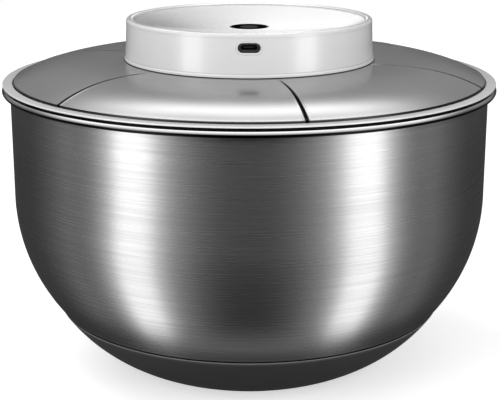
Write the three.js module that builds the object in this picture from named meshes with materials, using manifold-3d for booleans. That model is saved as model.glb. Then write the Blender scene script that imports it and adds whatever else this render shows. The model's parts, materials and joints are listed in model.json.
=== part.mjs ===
// Rechargeable salad spinner: a steel bowl in a soft foot sleeve, a slotted basket that turns on
// a central post, and a domed lid that carries the motor, gears, battery and switch in its hub.
// The six shallow creases pressed into the lid's skin are surface detail, so its solid is smooth.
// Millimetres, +Z up. The origin is the centre of the foot, and the front (charging port) faces -Y.

import * as THREE from 'three';
import { ConvexGeometry } from 'three/addons/geometries/ConvexGeometry.js';
import { mergeVertices } from 'three/addons/utils/BufferGeometryUtils.js';
import Module from 'manifold-3d';

const wasm = await Module();
wasm.setup();

// ---------------------------------------------------------------- driving dimensions

// Fits between neighbouring pieces
const SEAT_GAP = 0.3;
const RUN_GAP = 0.4;
const SLIDE_GAP = 0.4;

// Facets round a circle
const RING_SEGMENTS = 32;
const HUB_SEGMENTS = 24;
const TURNED_SEGMENTS = 16;
const SCREW_SEGMENTS = 8;

// Bowl
const BOWL_RADIUS = 130.3;
const BOWL_WALL = 0.9;
const BOWL_CORNER = 98;
const BOWL_CORNER_DIP = 4.4;
const BOWL_FLOOR_Z = 3.4;
const BEAD_RADIUS = 1.6;
const BEAD_REACH = 2.8;
const RIM_Z = 156.7;

// Foot sleeve
const SLEEVE_TOP_Z = 33;
const SLEEVE_LIP = 0.49;
const SLEEVE_ARC_OUTWARD = 0.2;
const SLEEVE_ARC_DROP = 12.4;
const SLEEVE_BORE = 46;
const SLEEVE_EDGE = 0.6;

// Post and bush that the basket turns on
const POST_RADIUS = 4.5;
const POST_TIP_Z = 24;
const POST_FLANGE_RADIUS = 10;
const POST_FLANGE_HEIGHT = 2;
const BUSH_WALL = 3.4;
const BUSH_CROWN = 2;
const BUSH_BOTTOM_Z = 9;
const BUSH_COLLAR_RADIUS = 11.4;
const BUSH_COLLAR_HEIGHT = 2;

// Basket
const BASKET_WALL = 2;
const BASKET_TOP_INSET = 11.3;
const BASKET_STRAIGHT_Z = 80;
const BASKET_STRAIGHT_INSET = 14.3;
const BASKET_CORNER = 62;
const BASKET_RIM_Z = 146;
const BASKET_RIM_HEIGHT = 3;
const BASKET_RIM_INSET = 7.3;
const BOSS_WALL = 2.5;
const BOSS_DEPTH = 2.7;
const SLOT_COUNT = 16;
const SLOT_WIDTH = 9;
const SLOT_LOW_Z = 84;
const SLOT_HIGH_Z = 132;
const FLOOR_SLOT_COUNT = 16;
const FLOOR_SLOT_INNER = 22;
const FLOOR_SLOT_OUTER = 50;
const FLOOR_SLOT_WIDTH = 4;

// Drive plate and its grip lugs
const LUG_COUNT = 6;
const LUG_WIDTH = 10;
const LUG_DEPTH = 2.6;
const LUG_THICKNESS = 2.6;
const PLATE_THICKNESS = 2;
const PLATE_RING_WIDTH = 14;
const PLATE_DISH = 4;
const PLATE_HUB_RADIUS = 11;
const PLATE_HUB_BOTTOM_Z = 138.5;

// Lid skin
const DOME_TOP_Z = 169.5;
const DOME_FALL = 9.3;
const DOME_FLAT_RADIUS = 72;
const DOME_SKIN = 0.8;
const DOME_EDGE_ROUND = 1;
const DOME_EDGE_GAP = 0.4;
const DOME_LEDGE = 1.4;

// Lid base: rim ring, skirt, roof and gear well
const RIM_RING_INSET = 0.6;
const RIM_RING_SETBACK = 0.7;
const RIM_RING_RISE = 1.2;
const RIM_RING_EDGE = 0.8;
const FLANGE_GAP = 0.5;
const GROOVE_WIDTH = 1.86;
const GROOVE_FLOOR = 0.8;
const ROOF_THICKNESS = 2.2;
const SKIRT_WALL = 2.4;
const SKIRT_BOTTOM_Z = 147;
const COLLAR_HEIGHT = 1.5;
const COLLAR_BACKSET = 0.5;
const WELL_INSET = 8.65;
const WELL_WALL = 2.2;
const WELL_FLOOR_Z = 157.2;
const WELL_FLOOR_THICKNESS = 2.2;

// Gasket
const GASKET_LIP = 0.5;
const GASKET_HEIGHT = 6.2;

// Hub housing, cap and button
const HUB_RADIUS = 68.25;
const HUB_DRAFT = 1.35;
const HUB_WALL = 2.4;
const HUB_WALL_TOP_Z = 189.3;
const CAP_CREST_Z = 191.9;
const CAP_RIM_WIDTH = 4.05;
const CAP_LIP_Z = 190.8;
const CAP_CENTRE_Z = 186.4;
const CAP_THICKNESS = 2.2;
const CAP_SKIRT_DEPTH = 2.6;
const CAP_SKIRT_WALL = 2.2;
const BUTTON_RADIUS = 10.2;
const BUTTON_RISE = 0.2;
const BUTTON_EDGE = 0.7;
const BUTTON_TRAVEL = 1.5;
const BUTTON_FLANGE = 1.4;
const GUIDE_WALL = 1.8;
const GUIDE_BOTTOM_Z = 180;

// Charging port
const PORT_DROP = 4.6;
const PORT_WIDTH = 11.5;
const PORT_HEIGHT = 5;
const PORT_BEZEL_WALL = 1;
const PORT_BEZEL_DEPTH = 2.3;
const PORT_BEZEL_SETBACK = 0.32;
const SOCKET_GAP = 0.4;
const SOCKET_OVERHANG = 1.2;
const SOCKET_WIDTH = 8.94;
const SOCKET_HEIGHT = 3.26;
const SOCKET_SHELL = 0.3;
const SOCKET_LENGTH = 7.35;
const TONGUE_WIDTH = 6.7;
const TONGUE_THICKNESS = 0.7;
const TONGUE_LENGTH = 5.4;
const CHARGE_BOARD_WIDTH = 16;
const CHARGE_BOARD_LENGTH = 20;
const BOARD_THICKNESS = 1.6;
const SHELF_THICKNESS = 2.2;

// Gear train
const GEAR_MODULE = 1.25;
const PRESSURE_ANGLE = THREE.MathUtils.degToRad(25);
const ADDENDUM = 1;
const DEDENDUM = 1.2;
const TOOTH_THINNING = 0.2;
const OUTPUT_TEETH = 32;
const PINION_TEETH = 12;
const WHEEL_TEETH = 28;
const IDLER_AZIMUTH = THREE.MathUtils.degToRad(210);
const MOTOR_AZIMUTH = THREE.MathUtils.degToRad(268);
const GEAR_FLOOR_GAP = 0.7;
const OUTPUT_GEAR_FACE = 4;
const WHEEL_FACE = 3;
const GEAR_STEP = 0.8;

// Shafts, bearings and seal
const SHAFT_RADIUS = 4;
const IDLER_PIN_RADIUS = 1.5;
const MOTOR_SHAFT_RADIUS = 1;
const BEARING_RADIUS = 8;
const BEARING_HEIGHT = 3.5;
const BEARING_WALL = 2.7;
const SEAL_HEIGHT = 1.1;
const UPPER_BUSH_RADIUS = 6.3;

// Gearbox cover, motor, boards and battery
const COVER_THICKNESS = 1.6;
const COVER_MARGIN = 3.8;
const COVER_RIM_POINTS = 8;
const COVER_POSTS = [[20, -17], [10, 23], [-30, 13], [2, -36]];
const POST_WALL_RADIUS = 3;
const MOTOR_RADIUS = 12.2;
const MOTOR_HEIGHT = 12.6;
const MOTOR_EAR_OFFSET = 15.5;
const MOTOR_EAR_RADIUS = 3.2;
const MOTOR_EAR_THICKNESS = 1.2;
const BOARD_LOW = [-14, -17];
const BOARD_HIGH = [28, 20];
const BOARD_Z = 171;
const BOARD_STANDOFFS = [[-10, 10], [22, -4]];
const SWITCH_SIZE = 6;
const SWITCH_HEIGHT = 2.5;
const PLUNGER_RADIUS = 1.7;
const SPRING_RADIUS = 6.8;
const SPRING_WIRE = 0.4;
const SPRING_TURNS = 3;
const CELL_RADIUS = 9.15;
const CELL_LENGTH = 65;
const CELL_Y = 38;
const CRADLE_LENGTH = 60;
const CRADLE_WALL = 1.2;
const CRADLE_HEIGHT = 12;
const LEAD_RADIUS = 0.9;
const LEAD_STEPS = 8;

// Screws
const SCREW_RADIUS = 1.25;
const SCREW_HEAD_RADIUS = 2.2;
const SCREW_HEAD_HEIGHT = 1.7;
const SCREW_HOLE = 1.6;
const HOUSING_SCREW_INSET = 1.45;
const HOUSING_SCREW_COUNT = 4;
const HOUSING_BOSS_RADIUS = 3;
const HOUSING_BOSS_HEIGHT = 8;

// ---------------------------------------------------------------- heights and radii that follow

const bowlFloorTop = BOWL_FLOOR_Z + BOWL_WALL;
const bowlCorner = [BOWL_RADIUS - BOWL_CORNER, BOWL_FLOOR_Z + BOWL_CORNER - BOWL_CORNER_DIP];
const sleeveArcCentre = [bowlCorner[0] + SLEEVE_ARC_OUTWARD, bowlCorner[1] - SLEEVE_ARC_DROP];
const sleeveTopEdge = SLEEVE_TOP_Z - SLEEVE_EDGE;
const sleeveInnerArcRadius = BOWL_CORNER + SEAT_GAP;
const sleeveLipRadius = sleeveInnerArcRadius + SLEEVE_LIP;
const sleeveLipReach = Math.sqrt(sleeveLipRadius ** 2 - (bowlCorner[1] - sleeveTopEdge) ** 2);
const sleeveArcRadius = Math.hypot(
  sleeveLipReach - SLEEVE_ARC_OUTWARD,
  sleeveArcCentre[1] - sleeveTopEdge,
);
const basketTopRadius = BOWL_RADIUS - BASKET_TOP_INSET;
const basketStraightRadius = BOWL_RADIUS - BASKET_STRAIGHT_INSET;
const basketRimRadius = BOWL_RADIUS - BASKET_RIM_INSET;
const bushBore = POST_RADIUS + RUN_GAP;
const bushRadius = bushBore + BUSH_WALL;
const bushTop = POST_TIP_Z + SEAT_GAP + BUSH_CROWN;
const bossBore = bushRadius + RUN_GAP;
const basketFloor = BASKET_STRAIGHT_Z - BASKET_CORNER;
const bossBottom = basketFloor - BOSS_DEPTH;
const rimRingInner = BOWL_RADIUS - RIM_RING_INSET;
const rimRingOuter = BOWL_RADIUS + BEAD_REACH - RIM_RING_SETBACK;
const flangeBottom = RIM_Z + FLANGE_GAP;
const rimRingTop = flangeBottom + RIM_RING_EDGE;
const grooveFloor = flangeBottom + GROOVE_FLOOR;
const domeRadius = rimRingInner - GROOVE_WIDTH;
const domeEdge = grooveFloor + DOME_EDGE_GAP;
const lipRadius = domeRadius - DOME_SKIN - SEAT_GAP;
const skirtInner = lipRadius - SKIRT_WALL;
const wellRadius = HUB_RADIUS - WELL_INSET;
const domeBore = wellRadius + DOME_LEDGE;
const roofTop = DOME_TOP_Z - DOME_SKIN - SEAT_GAP;
const roofBottom = roofTop - ROOF_THICKNESS;
const wellBottom = WELL_FLOOR_Z - WELL_FLOOR_THICKNESS;
const gasketInner = lipRadius + SEAT_GAP;
const gasketOuter = BOWL_RADIUS - BOWL_WALL - SLIDE_GAP;
const gasketBottom = SKIRT_BOTTOM_Z + COLLAR_HEIGHT + SEAT_GAP;
const hubBottom = DOME_TOP_Z + SEAT_GAP;
const capBottom = HUB_WALL_TOP_Z + SEAT_GAP;
const hubTopRadius = HUB_RADIUS - HUB_DRAFT;
const capLipRadius = hubTopRadius - CAP_RIM_WIDTH;
const housingScrewCircle = HUB_RADIUS - HUB_WALL - HOUSING_SCREW_INSET;
const outputGearBottom = WELL_FLOOR_Z + GEAR_FLOOR_GAP + SEAT_GAP;
const pinionBottom = WELL_FLOOR_Z + GEAR_FLOOR_GAP;
const wheelBottom = outputGearBottom + OUTPUT_GEAR_FACE + GEAR_STEP;
const wheelTop = wheelBottom + WHEEL_FACE;
const coverBottom = wheelTop + 1;
const coverTop = coverBottom + COVER_THICKNESS;
const outputDistance = GEAR_MODULE * (OUTPUT_TEETH + PINION_TEETH) / 2;
const motorDistance = GEAR_MODULE * (WHEEL_TEETH + PINION_TEETH) / 2;
const bearingTop = wellBottom - SEAT_GAP;
const bearingBottom = bearingTop - BEARING_HEIGHT;
const sealTop = bearingBottom - SEAT_GAP;
const bearingBore = BEARING_RADIUS + SEAT_GAP;
const plateRingBottom = BASKET_RIM_Z + SEAT_GAP;
const shaftBottom = PLATE_HUB_BOTTOM_Z + 2.5;
const buttonFlangeTop = GUIDE_BOTTOM_Z - SEAT_GAP;
const buttonBottom = buttonFlangeTop - BUTTON_FLANGE;
const boardTop = BOARD_Z + BOARD_THICKNESS;
const portZ = HUB_WALL_TOP_Z - PORT_DROP;
const chargeBoardTop = portZ - SOCKET_HEIGHT / 2 - SEAT_GAP;
const shelfTop = chargeBoardTop - BOARD_THICKNESS - SEAT_GAP;
const portBezelFront = hubRadiusAt(portZ) - PORT_BEZEL_SETBACK;
const socketFront = portBezelFront - PORT_BEZEL_DEPTH - SOCKET_GAP;
const chargeBoardFront = socketFront - SOCKET_OVERHANG;
const shelfBack = chargeBoardFront - CHARGE_BOARD_LENGTH;

const idlerAt = polar(outputDistance, IDLER_AZIMUTH);
const motorAt = idlerAt.clone().add(polar(motorDistance, MOTOR_AZIMUTH));
const cellZ = WELL_FLOOR_Z + 2 * SEAT_GAP + CRADLE_WALL + CELL_RADIUS;

// ---------------------------------------------------------------- shape helpers

function polar(radius, azimuth) {
  return new THREE.Vector2(radius * Math.cos(azimuth), radius * Math.sin(azimuth));
}

// Points of an arc in (radius, height), from one angle to another, both ends included
function arc(centre, radius, fromDegrees, toDegrees, steps) {
  const points = [];
  for (let i = 0; i <= steps; i += 1) {
    const angle = THREE.MathUtils.degToRad(fromDegrees + (toDegrees - fromDegrees) * i / steps);
    points.push([centre[0] + radius * Math.cos(angle), centre[1] + radius * Math.sin(angle)]);
  }
  return points;
}

// Angle in degrees at which an arc's circle is at a given height, on its outer side
function angleAtHeight(centre, radius, height) {
  return THREE.MathUtils.radToDeg(Math.asin((height - centre[1]) / radius));
}

// Solid of revolution about +Z. A profile that doesn't end on the axis closes on itself.
function revolve(profile, segments = RING_SEGMENTS) {
  const points = profile.map(([radius, height]) => new THREE.Vector2(Math.max(radius, 0), height));
  if (THREE.ShapeUtils.area(points) < 0) points.reverse();
  const onAxis = points.filter((point) => point.x < 1e-6).length > 1;
  if (!onAxis) {
    points.push(points[0].clone());
  } else {
    while (points[0].x > 1e-6 || points[points.length - 1].x > 1e-6) points.push(points.shift());
  }
  return new THREE.LatheGeometry(points, segments).rotateX(Math.PI / 2);
}

function rod(radius, bottom, top, segments = TURNED_SEGMENTS) {
  return revolve([[0, bottom], [radius, bottom], [radius, top], [0, top]], segments);
}

function ring(inner, outer, bottom, top, segments = TURNED_SEGMENTS) {
  return revolve([[inner, bottom], [outer, bottom], [outer, top], [inner, top]], segments);
}

function block(low, high) {
  const size = high.map((value, axis) => value - low[axis]);
  const middle = high.map((value, axis) => (value + low[axis]) / 2);
  return new THREE.BoxGeometry(...size).translate(...middle);
}

function plate(shape, bottom, top, curveSegments = 6) {
  const depth = top - bottom;
  const settings = { depth, bevelEnabled: false, curveSegments };
  return new THREE.ExtrudeGeometry(shape, settings).translate(0, 0, bottom);
}

function tube(path, radius, steps, sides = 6) {
  const corners = Array.from({ length: sides }, (unused, i) => polar(radius, 2 * Math.PI * i / sides));
  const section = new THREE.Shape(corners);
  return new THREE.ExtrudeGeometry(section, { steps, bevelEnabled: false, extrudePath: path });
}

// Outline of a slot with round ends, centred on the origin
function stadium(Outline, width, height) {
  const radius = height / 2;
  const reach = width / 2 - radius;
  const outline = new Outline();
  outline.absarc(reach, 0, radius, -Math.PI / 2, Math.PI / 2);
  outline.absarc(-reach, 0, radius, Math.PI / 2, 3 * Math.PI / 2);
  return outline;
}

// Stadium prism that runs along Y, from front to back, at the port's height
function portPrism(shape, front, back) {
  return plate(shape, 0, back - front, 5).rotateX(Math.PI / 2).translate(0, back, portZ);
}

// ---------------------------------------------------------------- solid booleans

function toSolid(geometry) {
  const bare = geometry.clone();
  bare.deleteAttribute('normal');
  bare.deleteAttribute('uv');
  const merged = mergeVertices(bare, 1e-4);
  const corners = merged.index.array;
  const faces = [];
  for (let i = 0; i < corners.length; i += 3) {
    const [a, b, c] = corners.slice(i, i + 3);
    if (a !== b && b !== c && c !== a) faces.push(a, b, c);
  }
  const vertProperties = new Float32Array(merged.attributes.position.array);
  return new wasm.Manifold(new wasm.Mesh({ numProp: 3, vertProperties, triVerts: new Uint32Array(faces) }));
}

function toGeometry(solid) {
  const { vertProperties, triVerts } = solid.getMesh();
  const geometry = new THREE.BufferGeometry();
  geometry.setAttribute('position', new THREE.BufferAttribute(vertProperties, 3));
  geometry.setIndex(new THREE.BufferAttribute(triVerts, 1));
  return geometry;
}

function join(first, others) {
  return toGeometry(others.reduce((solid, other) => solid.add(toSolid(other)), toSolid(first)));
}

function cut(body, tools) {
  return toGeometry(tools.reduce((solid, tool) => solid.subtract(toSolid(tool)), toSolid(body)));
}

// Copies of a shape turned about +Z, the first at an azimuth measured from +X
function around(makeShape, count, firstAzimuth) {
  return Array.from({ length: count }, (unused, i) => (
    makeShape().rotateZ(firstAzimuth + 2 * Math.PI * i / count)
  ));
}

// ---------------------------------------------------------------- materials and nodes

function material(color, roughness, metalness) {
  return new THREE.MeshStandardMaterial({ color, roughness, metalness });
}

const steel = material(0xb4b4b6, 0.28, 1);
const lidSteel = material(0xa4a4a6, 0.3, 1);
const turnedSteel = material(0xc0c0c2, 0.25, 1);
const whitePlastic = material(0xe4e4e2, 0.35, 0);
const basketPlastic = material(0xdcdcda, 0.4, 0);
const clearGreyPlastic = material(0xbfc2c4, 0.3, 0);
const darkPlastic = material(0x2b2b2c, 0.45, 0);
const silicone = material(0x353536, 0.7, 0);
const acetal = material(0xf0eee6, 0.4, 0);
const gearPlastic = material(0xeae6d6, 0.45, 0);
const boardGreen = material(0x1f5a3a, 0.5, 0);
const cellWrap = material(0x3d6d8a, 0.4, 0);
const leadSleeve = material(0x9a2020, 0.5, 0);

const salad = new THREE.Group();

function addPiece(name, geometry, finish) {
  geometry.computeVertexNormals();
  const mesh = new THREE.Mesh(geometry, finish);
  mesh.name = name;
  salad.add(mesh);
}

// ---------------------------------------------------------------- bowl and foot

// Wall, round corner and floor of the bowl, offset inwards from its outer face
function bowlSide(offset, steps) {
  const radius = BOWL_CORNER - offset;
  const floor = BOWL_FLOOR_Z + offset;
  return arc(bowlCorner, radius, 0, angleAtHeight(bowlCorner, radius, floor), steps);
}

function bowl() {
  const beadCentre = [BOWL_RADIUS + BEAD_REACH - BEAD_RADIUS, RIM_Z - BEAD_RADIUS];
  return revolve([
    [SCREW_HOLE, BOWL_FLOOR_Z],
    ...bowlSide(0, 6).reverse(),
    [BOWL_RADIUS, beadCentre[1] - BEAD_RADIUS],
    ...arc(beadCentre, BEAD_RADIUS, -120, 150, 5),
    [BOWL_RADIUS - BOWL_WALL, beadCentre[1]],
    ...bowlSide(BOWL_WALL, 6),
    [SCREW_HOLE, bowlFloorTop],
  ]);
}

function footSleeve() {
  const inner = bowlSide(-SEAT_GAP, 6).filter(([, height]) => height < sleeveTopEdge);
  const innerTopAngle = angleAtHeight(bowlCorner, sleeveInnerArcRadius, SLEEVE_TOP_Z);
  const innerTop = arc(bowlCorner, sleeveInnerArcRadius, innerTopAngle, innerTopAngle, 1);
  const outerFrom = angleAtHeight(sleeveArcCentre, sleeveArcRadius, SLEEVE_EDGE);
  const outerTo = angleAtHeight(sleeveArcCentre, sleeveArcRadius, sleeveTopEdge);
  const outer = arc(sleeveArcCentre, sleeveArcRadius, outerFrom, outerTo, 4);
  const floor = BOWL_FLOOR_Z - SEAT_GAP;
  return revolve([
    [SLEEVE_BORE, 0],
    [outer[0][0] - 2 * SLEEVE_EDGE, 0],
    ...outer,
    [innerTop[0][0] + SLEEVE_EDGE / 2, SLEEVE_TOP_Z],
    innerTop[0],
    ...inner,
    [SLEEVE_BORE, floor],
  ]);
}

function pivotPost() {
  const bottom = bowlFloorTop + SEAT_GAP;
  const flangeTop = bottom + POST_FLANGE_HEIGHT;
  const holeTop = POST_TIP_Z / 2;
  return revolve([
    [0, holeTop],
    [SCREW_HOLE, holeTop],
    [SCREW_HOLE, bottom],
    [POST_FLANGE_RADIUS, bottom],
    [POST_FLANGE_RADIUS, flangeTop],
    [POST_RADIUS, flangeTop],
    [POST_RADIUS, POST_TIP_Z - POST_RADIUS / 2],
    [POST_RADIUS / 2, POST_TIP_Z],
    [0, POST_TIP_Z],
  ], TURNED_SEGMENTS);
}

// Screw along Z: its head touches `headFace` from outside and its shank runs on past it
function screw(headFace, shankEnd) {
  const direction = Math.sign(shankEnd - headFace);
  const headSeat = headFace - direction * SEAT_GAP;
  const headTop = headSeat - direction * SCREW_HEAD_HEIGHT;
  return revolve([
    [0, headTop],
    [SCREW_HEAD_RADIUS, headTop],
    [SCREW_HEAD_RADIUS, headSeat],
    [SCREW_RADIUS, headSeat],
    [SCREW_RADIUS, shankEnd],
    [0, shankEnd],
  ], SCREW_SEGMENTS);
}

addPiece('bowl', bowl(), steel);
addPiece('foot_sleeve', footSleeve(), silicone);
addPiece('pivot_post', pivotPost(), turnedSteel);
addPiece('pivot_screw', screw(BOWL_FLOOR_Z, POST_TIP_Z / 2 - SEAT_GAP), turnedSteel);

// ---------------------------------------------------------------- basket and its bush

function pivotBush() {
  const collarTop = bossBottom - SEAT_GAP;
  return revolve([
    [0, bushTop - BUSH_CROWN],
    [bushBore, bushTop - BUSH_CROWN],
    [bushBore, BUSH_BOTTOM_Z],
    [bushRadius, BUSH_BOTTOM_Z],
    [bushRadius, collarTop - BUSH_COLLAR_HEIGHT],
    [BUSH_COLLAR_RADIUS, collarTop - BUSH_COLLAR_HEIGHT],
    [BUSH_COLLAR_RADIUS, collarTop],
    [bushRadius, collarTop],
    [bushRadius, bushTop],
    [0, bushTop],
  ], TURNED_SEGMENTS);
}

function basketShell() {
  const corner = [basketStraightRadius - BASKET_CORNER, BASKET_STRAIGHT_Z];
  const innerCorner = BASKET_CORNER - BASKET_WALL;
  const rimBottom = BASKET_RIM_Z - BASKET_RIM_HEIGHT;
  const bossRadius = bossBore + BOSS_WALL;
  const bossRoof = bushTop + SEAT_GAP;
  return revolve([
    [0, bossRoof],
    [bossBore, bossRoof],
    [bossBore, bossBottom],
    [bossRadius, bossBottom],
    [bossRadius, basketFloor],
    ...arc(corner, BASKET_CORNER, -90, 0, 4),
    [basketTopRadius, rimBottom],
    [basketRimRadius, rimBottom],
    [basketRimRadius, BASKET_RIM_Z],
    [basketTopRadius - BASKET_WALL, BASKET_RIM_Z],
    ...arc(corner, innerCorner, 0, -90, 4),
    [bossRadius, basketFloor + BASKET_WALL],
    [bossRadius, bossRoof + BASKET_WALL],
    [0, bossRoof + BASKET_WALL],
  ]);
}

function basket() {
  const facet = 2 * Math.PI / RING_SEGMENTS;
  const wallSlot = () => block(
    [basketStraightRadius - BASKET_CORNER / 2, -SLOT_WIDTH / 2, SLOT_LOW_Z],
    [basketRimRadius, SLOT_WIDTH / 2, SLOT_HIGH_Z],
  );
  const floorSlot = () => block(
    [FLOOR_SLOT_INNER, -FLOOR_SLOT_WIDTH / 2, basketFloor - BASKET_WALL],
    [FLOOR_SLOT_OUTER, FLOOR_SLOT_WIDTH / 2, basketFloor + 2 * BASKET_WALL],
  );
  const notchHalf = LUG_WIDTH / 2 + 2 * RUN_GAP;
  const lugOuter = basketRimRadius - RUN_GAP;
  const notch = () => block(
    [lugOuter - LUG_THICKNESS - 2 * RUN_GAP, -notchHalf, BASKET_RIM_Z - LUG_DEPTH - RUN_GAP],
    [basketRimRadius + BASKET_WALL, notchHalf, BASKET_RIM_Z + BASKET_WALL],
  );
  return cut(basketShell(), [
    ...around(wallSlot, SLOT_COUNT, facet / 2),
    ...around(floorSlot, FLOOR_SLOT_COUNT, facet / 2),
    ...around(notch, LUG_COUNT, facet / 2),
  ]);
}

addPiece('pivot_bush', pivotBush(), acetal);
addPiece('basket', basket(), basketPlastic);

// ---------------------------------------------------------------- drive plate, shaft and gears

function drivePlate() {
  const ringTop = plateRingBottom + PLATE_THICKNESS;
  const ringInner = basketRimRadius - PLATE_RING_WIDTH;
  const webInner = PLATE_HUB_RADIUS + PLATE_DISH;
  const webTop = ringTop - PLATE_DISH;
  const hubTop = sealTop - SEAL_HEIGHT - RUN_GAP - SEAT_GAP;
  const bore = SHAFT_RADIUS + SEAT_GAP;
  const disc = revolve([
    [bore, PLATE_HUB_BOTTOM_Z],
    [PLATE_HUB_RADIUS, PLATE_HUB_BOTTOM_Z],
    [PLATE_HUB_RADIUS, webTop - PLATE_THICKNESS],
    [webInner, webTop - PLATE_THICKNESS],
    [ringInner, plateRingBottom],
    [basketRimRadius, plateRingBottom],
    [basketRimRadius, ringTop],
    [ringInner, ringTop],
    [webInner, webTop],
    [PLATE_HUB_RADIUS, webTop],
    [PLATE_HUB_RADIUS - 1, hubTop],
    [bore, hubTop],
  ]);
  const lugOuter = basketRimRadius - RUN_GAP;
  const lug = () => block(
    [lugOuter - LUG_THICKNESS, -LUG_WIDTH / 2, BASKET_RIM_Z - LUG_DEPTH],
    [lugOuter, LUG_WIDTH / 2, plateRingBottom + PLATE_THICKNESS / 2],
  );
  return join(disc, around(lug, LUG_COUNT, Math.PI / RING_SEGMENTS));
}

function outputShaft() {
  const holeTop = shaftBottom + 12;
  return revolve([
    [0, holeTop],
    [SCREW_HOLE, holeTop],
    [SCREW_HOLE, shaftBottom],
    [SHAFT_RADIUS, shaftBottom],
    [SHAFT_RADIUS, coverTop],
    [0, coverTop],
  ], TURNED_SEGMENTS);
}

// Half of a tooth's angle at a radius, from its width at the pitch circle
function halfToothAngle(teeth, radius) {
  const pitchRadius = GEAR_MODULE * teeth / 2;
  const involute = (angle) => Math.tan(angle) - angle;
  const baseRadius = pitchRadius * Math.cos(PRESSURE_ANGLE);
  const here = Math.acos(Math.min(1, baseRadius / radius));
  const atPitch = Math.PI / (2 * teeth) - TOOTH_THINNING / (2 * pitchRadius);
  return atPitch + involute(PRESSURE_ANGLE) - involute(here);
}

// Involute spur gear with one tooth centred on the azimuth `toothAt`
function gear(teeth, bore, bottom, top, toothAt) {
  const pitchRadius = GEAR_MODULE * teeth / 2;
  const root = pitchRadius - DEDENDUM * GEAR_MODULE;
  const base = pitchRadius * Math.cos(PRESSURE_ANGLE);
  const tip = pitchRadius + ADDENDUM * GEAR_MODULE;
  const radii = root < base ? [root, base, tip] : [root, tip];
  const points = [];
  for (let tooth = 0; tooth < teeth; tooth += 1) {
    const centre = toothAt + 2 * Math.PI * tooth / teeth;
    radii.forEach((radius) => points.push(polar(radius, centre - halfToothAngle(teeth, radius))));
    [...radii].reverse().forEach((radius) => {
      points.push(polar(radius, centre + halfToothAngle(teeth, radius)));
    });
  }
  const shape = new THREE.Shape(points);
  shape.holes.push(new THREE.Path().absarc(0, 0, bore, 0, 2 * Math.PI, true));
  return plate(shape, bottom, top);
}

function idlerGear() {
  const bore = IDLER_PIN_RADIUS + SEAT_GAP;
  const spaceAtOutput = IDLER_AZIMUTH + Math.PI + Math.PI / PINION_TEETH;
  const wheel = gear(WHEEL_TEETH, bore, wheelBottom, wheelTop, MOTOR_AZIMUTH);
  const pinion = gear(PINION_TEETH, bore, pinionBottom, wheelBottom + WHEEL_FACE / 2, spaceAtOutput);
  return join(wheel, [pinion]).translate(idlerAt.x, idlerAt.y, 0);
}

function motorPinion() {
  const spaceAtWheel = MOTOR_AZIMUTH + Math.PI + Math.PI / PINION_TEETH;
  const bore = MOTOR_SHAFT_RADIUS + SEAT_GAP;
  const bottom = wheelBottom - SEAT_GAP;
  return gear(PINION_TEETH, bore, bottom, wheelTop + SEAT_GAP, spaceAtWheel)
    .translate(motorAt.x, motorAt.y, 0);
}

const outputBore = SHAFT_RADIUS + SEAT_GAP;
const outputGearTop = outputGearBottom + OUTPUT_GEAR_FACE;
const outputGear = gear(OUTPUT_TEETH, outputBore, outputGearBottom, outputGearTop, IDLER_AZIMUTH);

addPiece('drive_plate', drivePlate(), clearGreyPlastic);
addPiece('drive_plate_screw', screw(PLATE_HUB_BOTTOM_Z, shaftBottom + 10), turnedSteel);
addPiece('output_shaft', outputShaft(), turnedSteel);
addPiece('output_gear', outputGear, gearPlastic);
addPiece('idler_gear', idlerGear(), gearPlastic);
addPiece('motor_pinion', motorPinion(), turnedSteel);

// ---------------------------------------------------------------- lid skin and base

function domeHeight(radius) {
  const share = Math.max(0, (radius - DOME_FLAT_RADIUS) / (domeRadius - DOME_FLAT_RADIUS));
  return DOME_TOP_Z - DOME_FALL * share ** 3;
}

// Points on a surface that runs a fixed depth under the dome, from the flat middle outwards
function domePoints(depth, outerRadius, steps) {
  const points = [];
  for (let i = 0; i <= steps; i += 1) {
    const radius = DOME_FLAT_RADIUS + (outerRadius - DOME_FLAT_RADIUS) * i / steps;
    points.push([radius, domeHeight(radius) - depth]);
  }
  return points;
}

function lidDome() {
  const shoulder = domeRadius - DOME_EDGE_ROUND;
  const skin = revolve([
    [domeBore, DOME_TOP_Z - DOME_SKIN],
    [domeBore, DOME_TOP_Z],
    ...domePoints(0, shoulder, 5),
    [domeRadius, domeHeight(shoulder) - DOME_EDGE_ROUND],
    [domeRadius, domeEdge],
    [domeRadius - DOME_SKIN, domeEdge],
    [domeRadius - DOME_SKIN, domeHeight(shoulder) - DOME_EDGE_ROUND],
    ...domePoints(DOME_SKIN, shoulder - DOME_SKIN, 5).reverse(),
  ]);
  const screwHole = () => rod(SCREW_HOLE, roofBottom, hubBottom + 1, SCREW_SEGMENTS)
    .translate(housingScrewCircle, 0, 0);
  return cut(skin, around(screwHole, HOUSING_SCREW_COUNT, Math.PI / 4));
}

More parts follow.
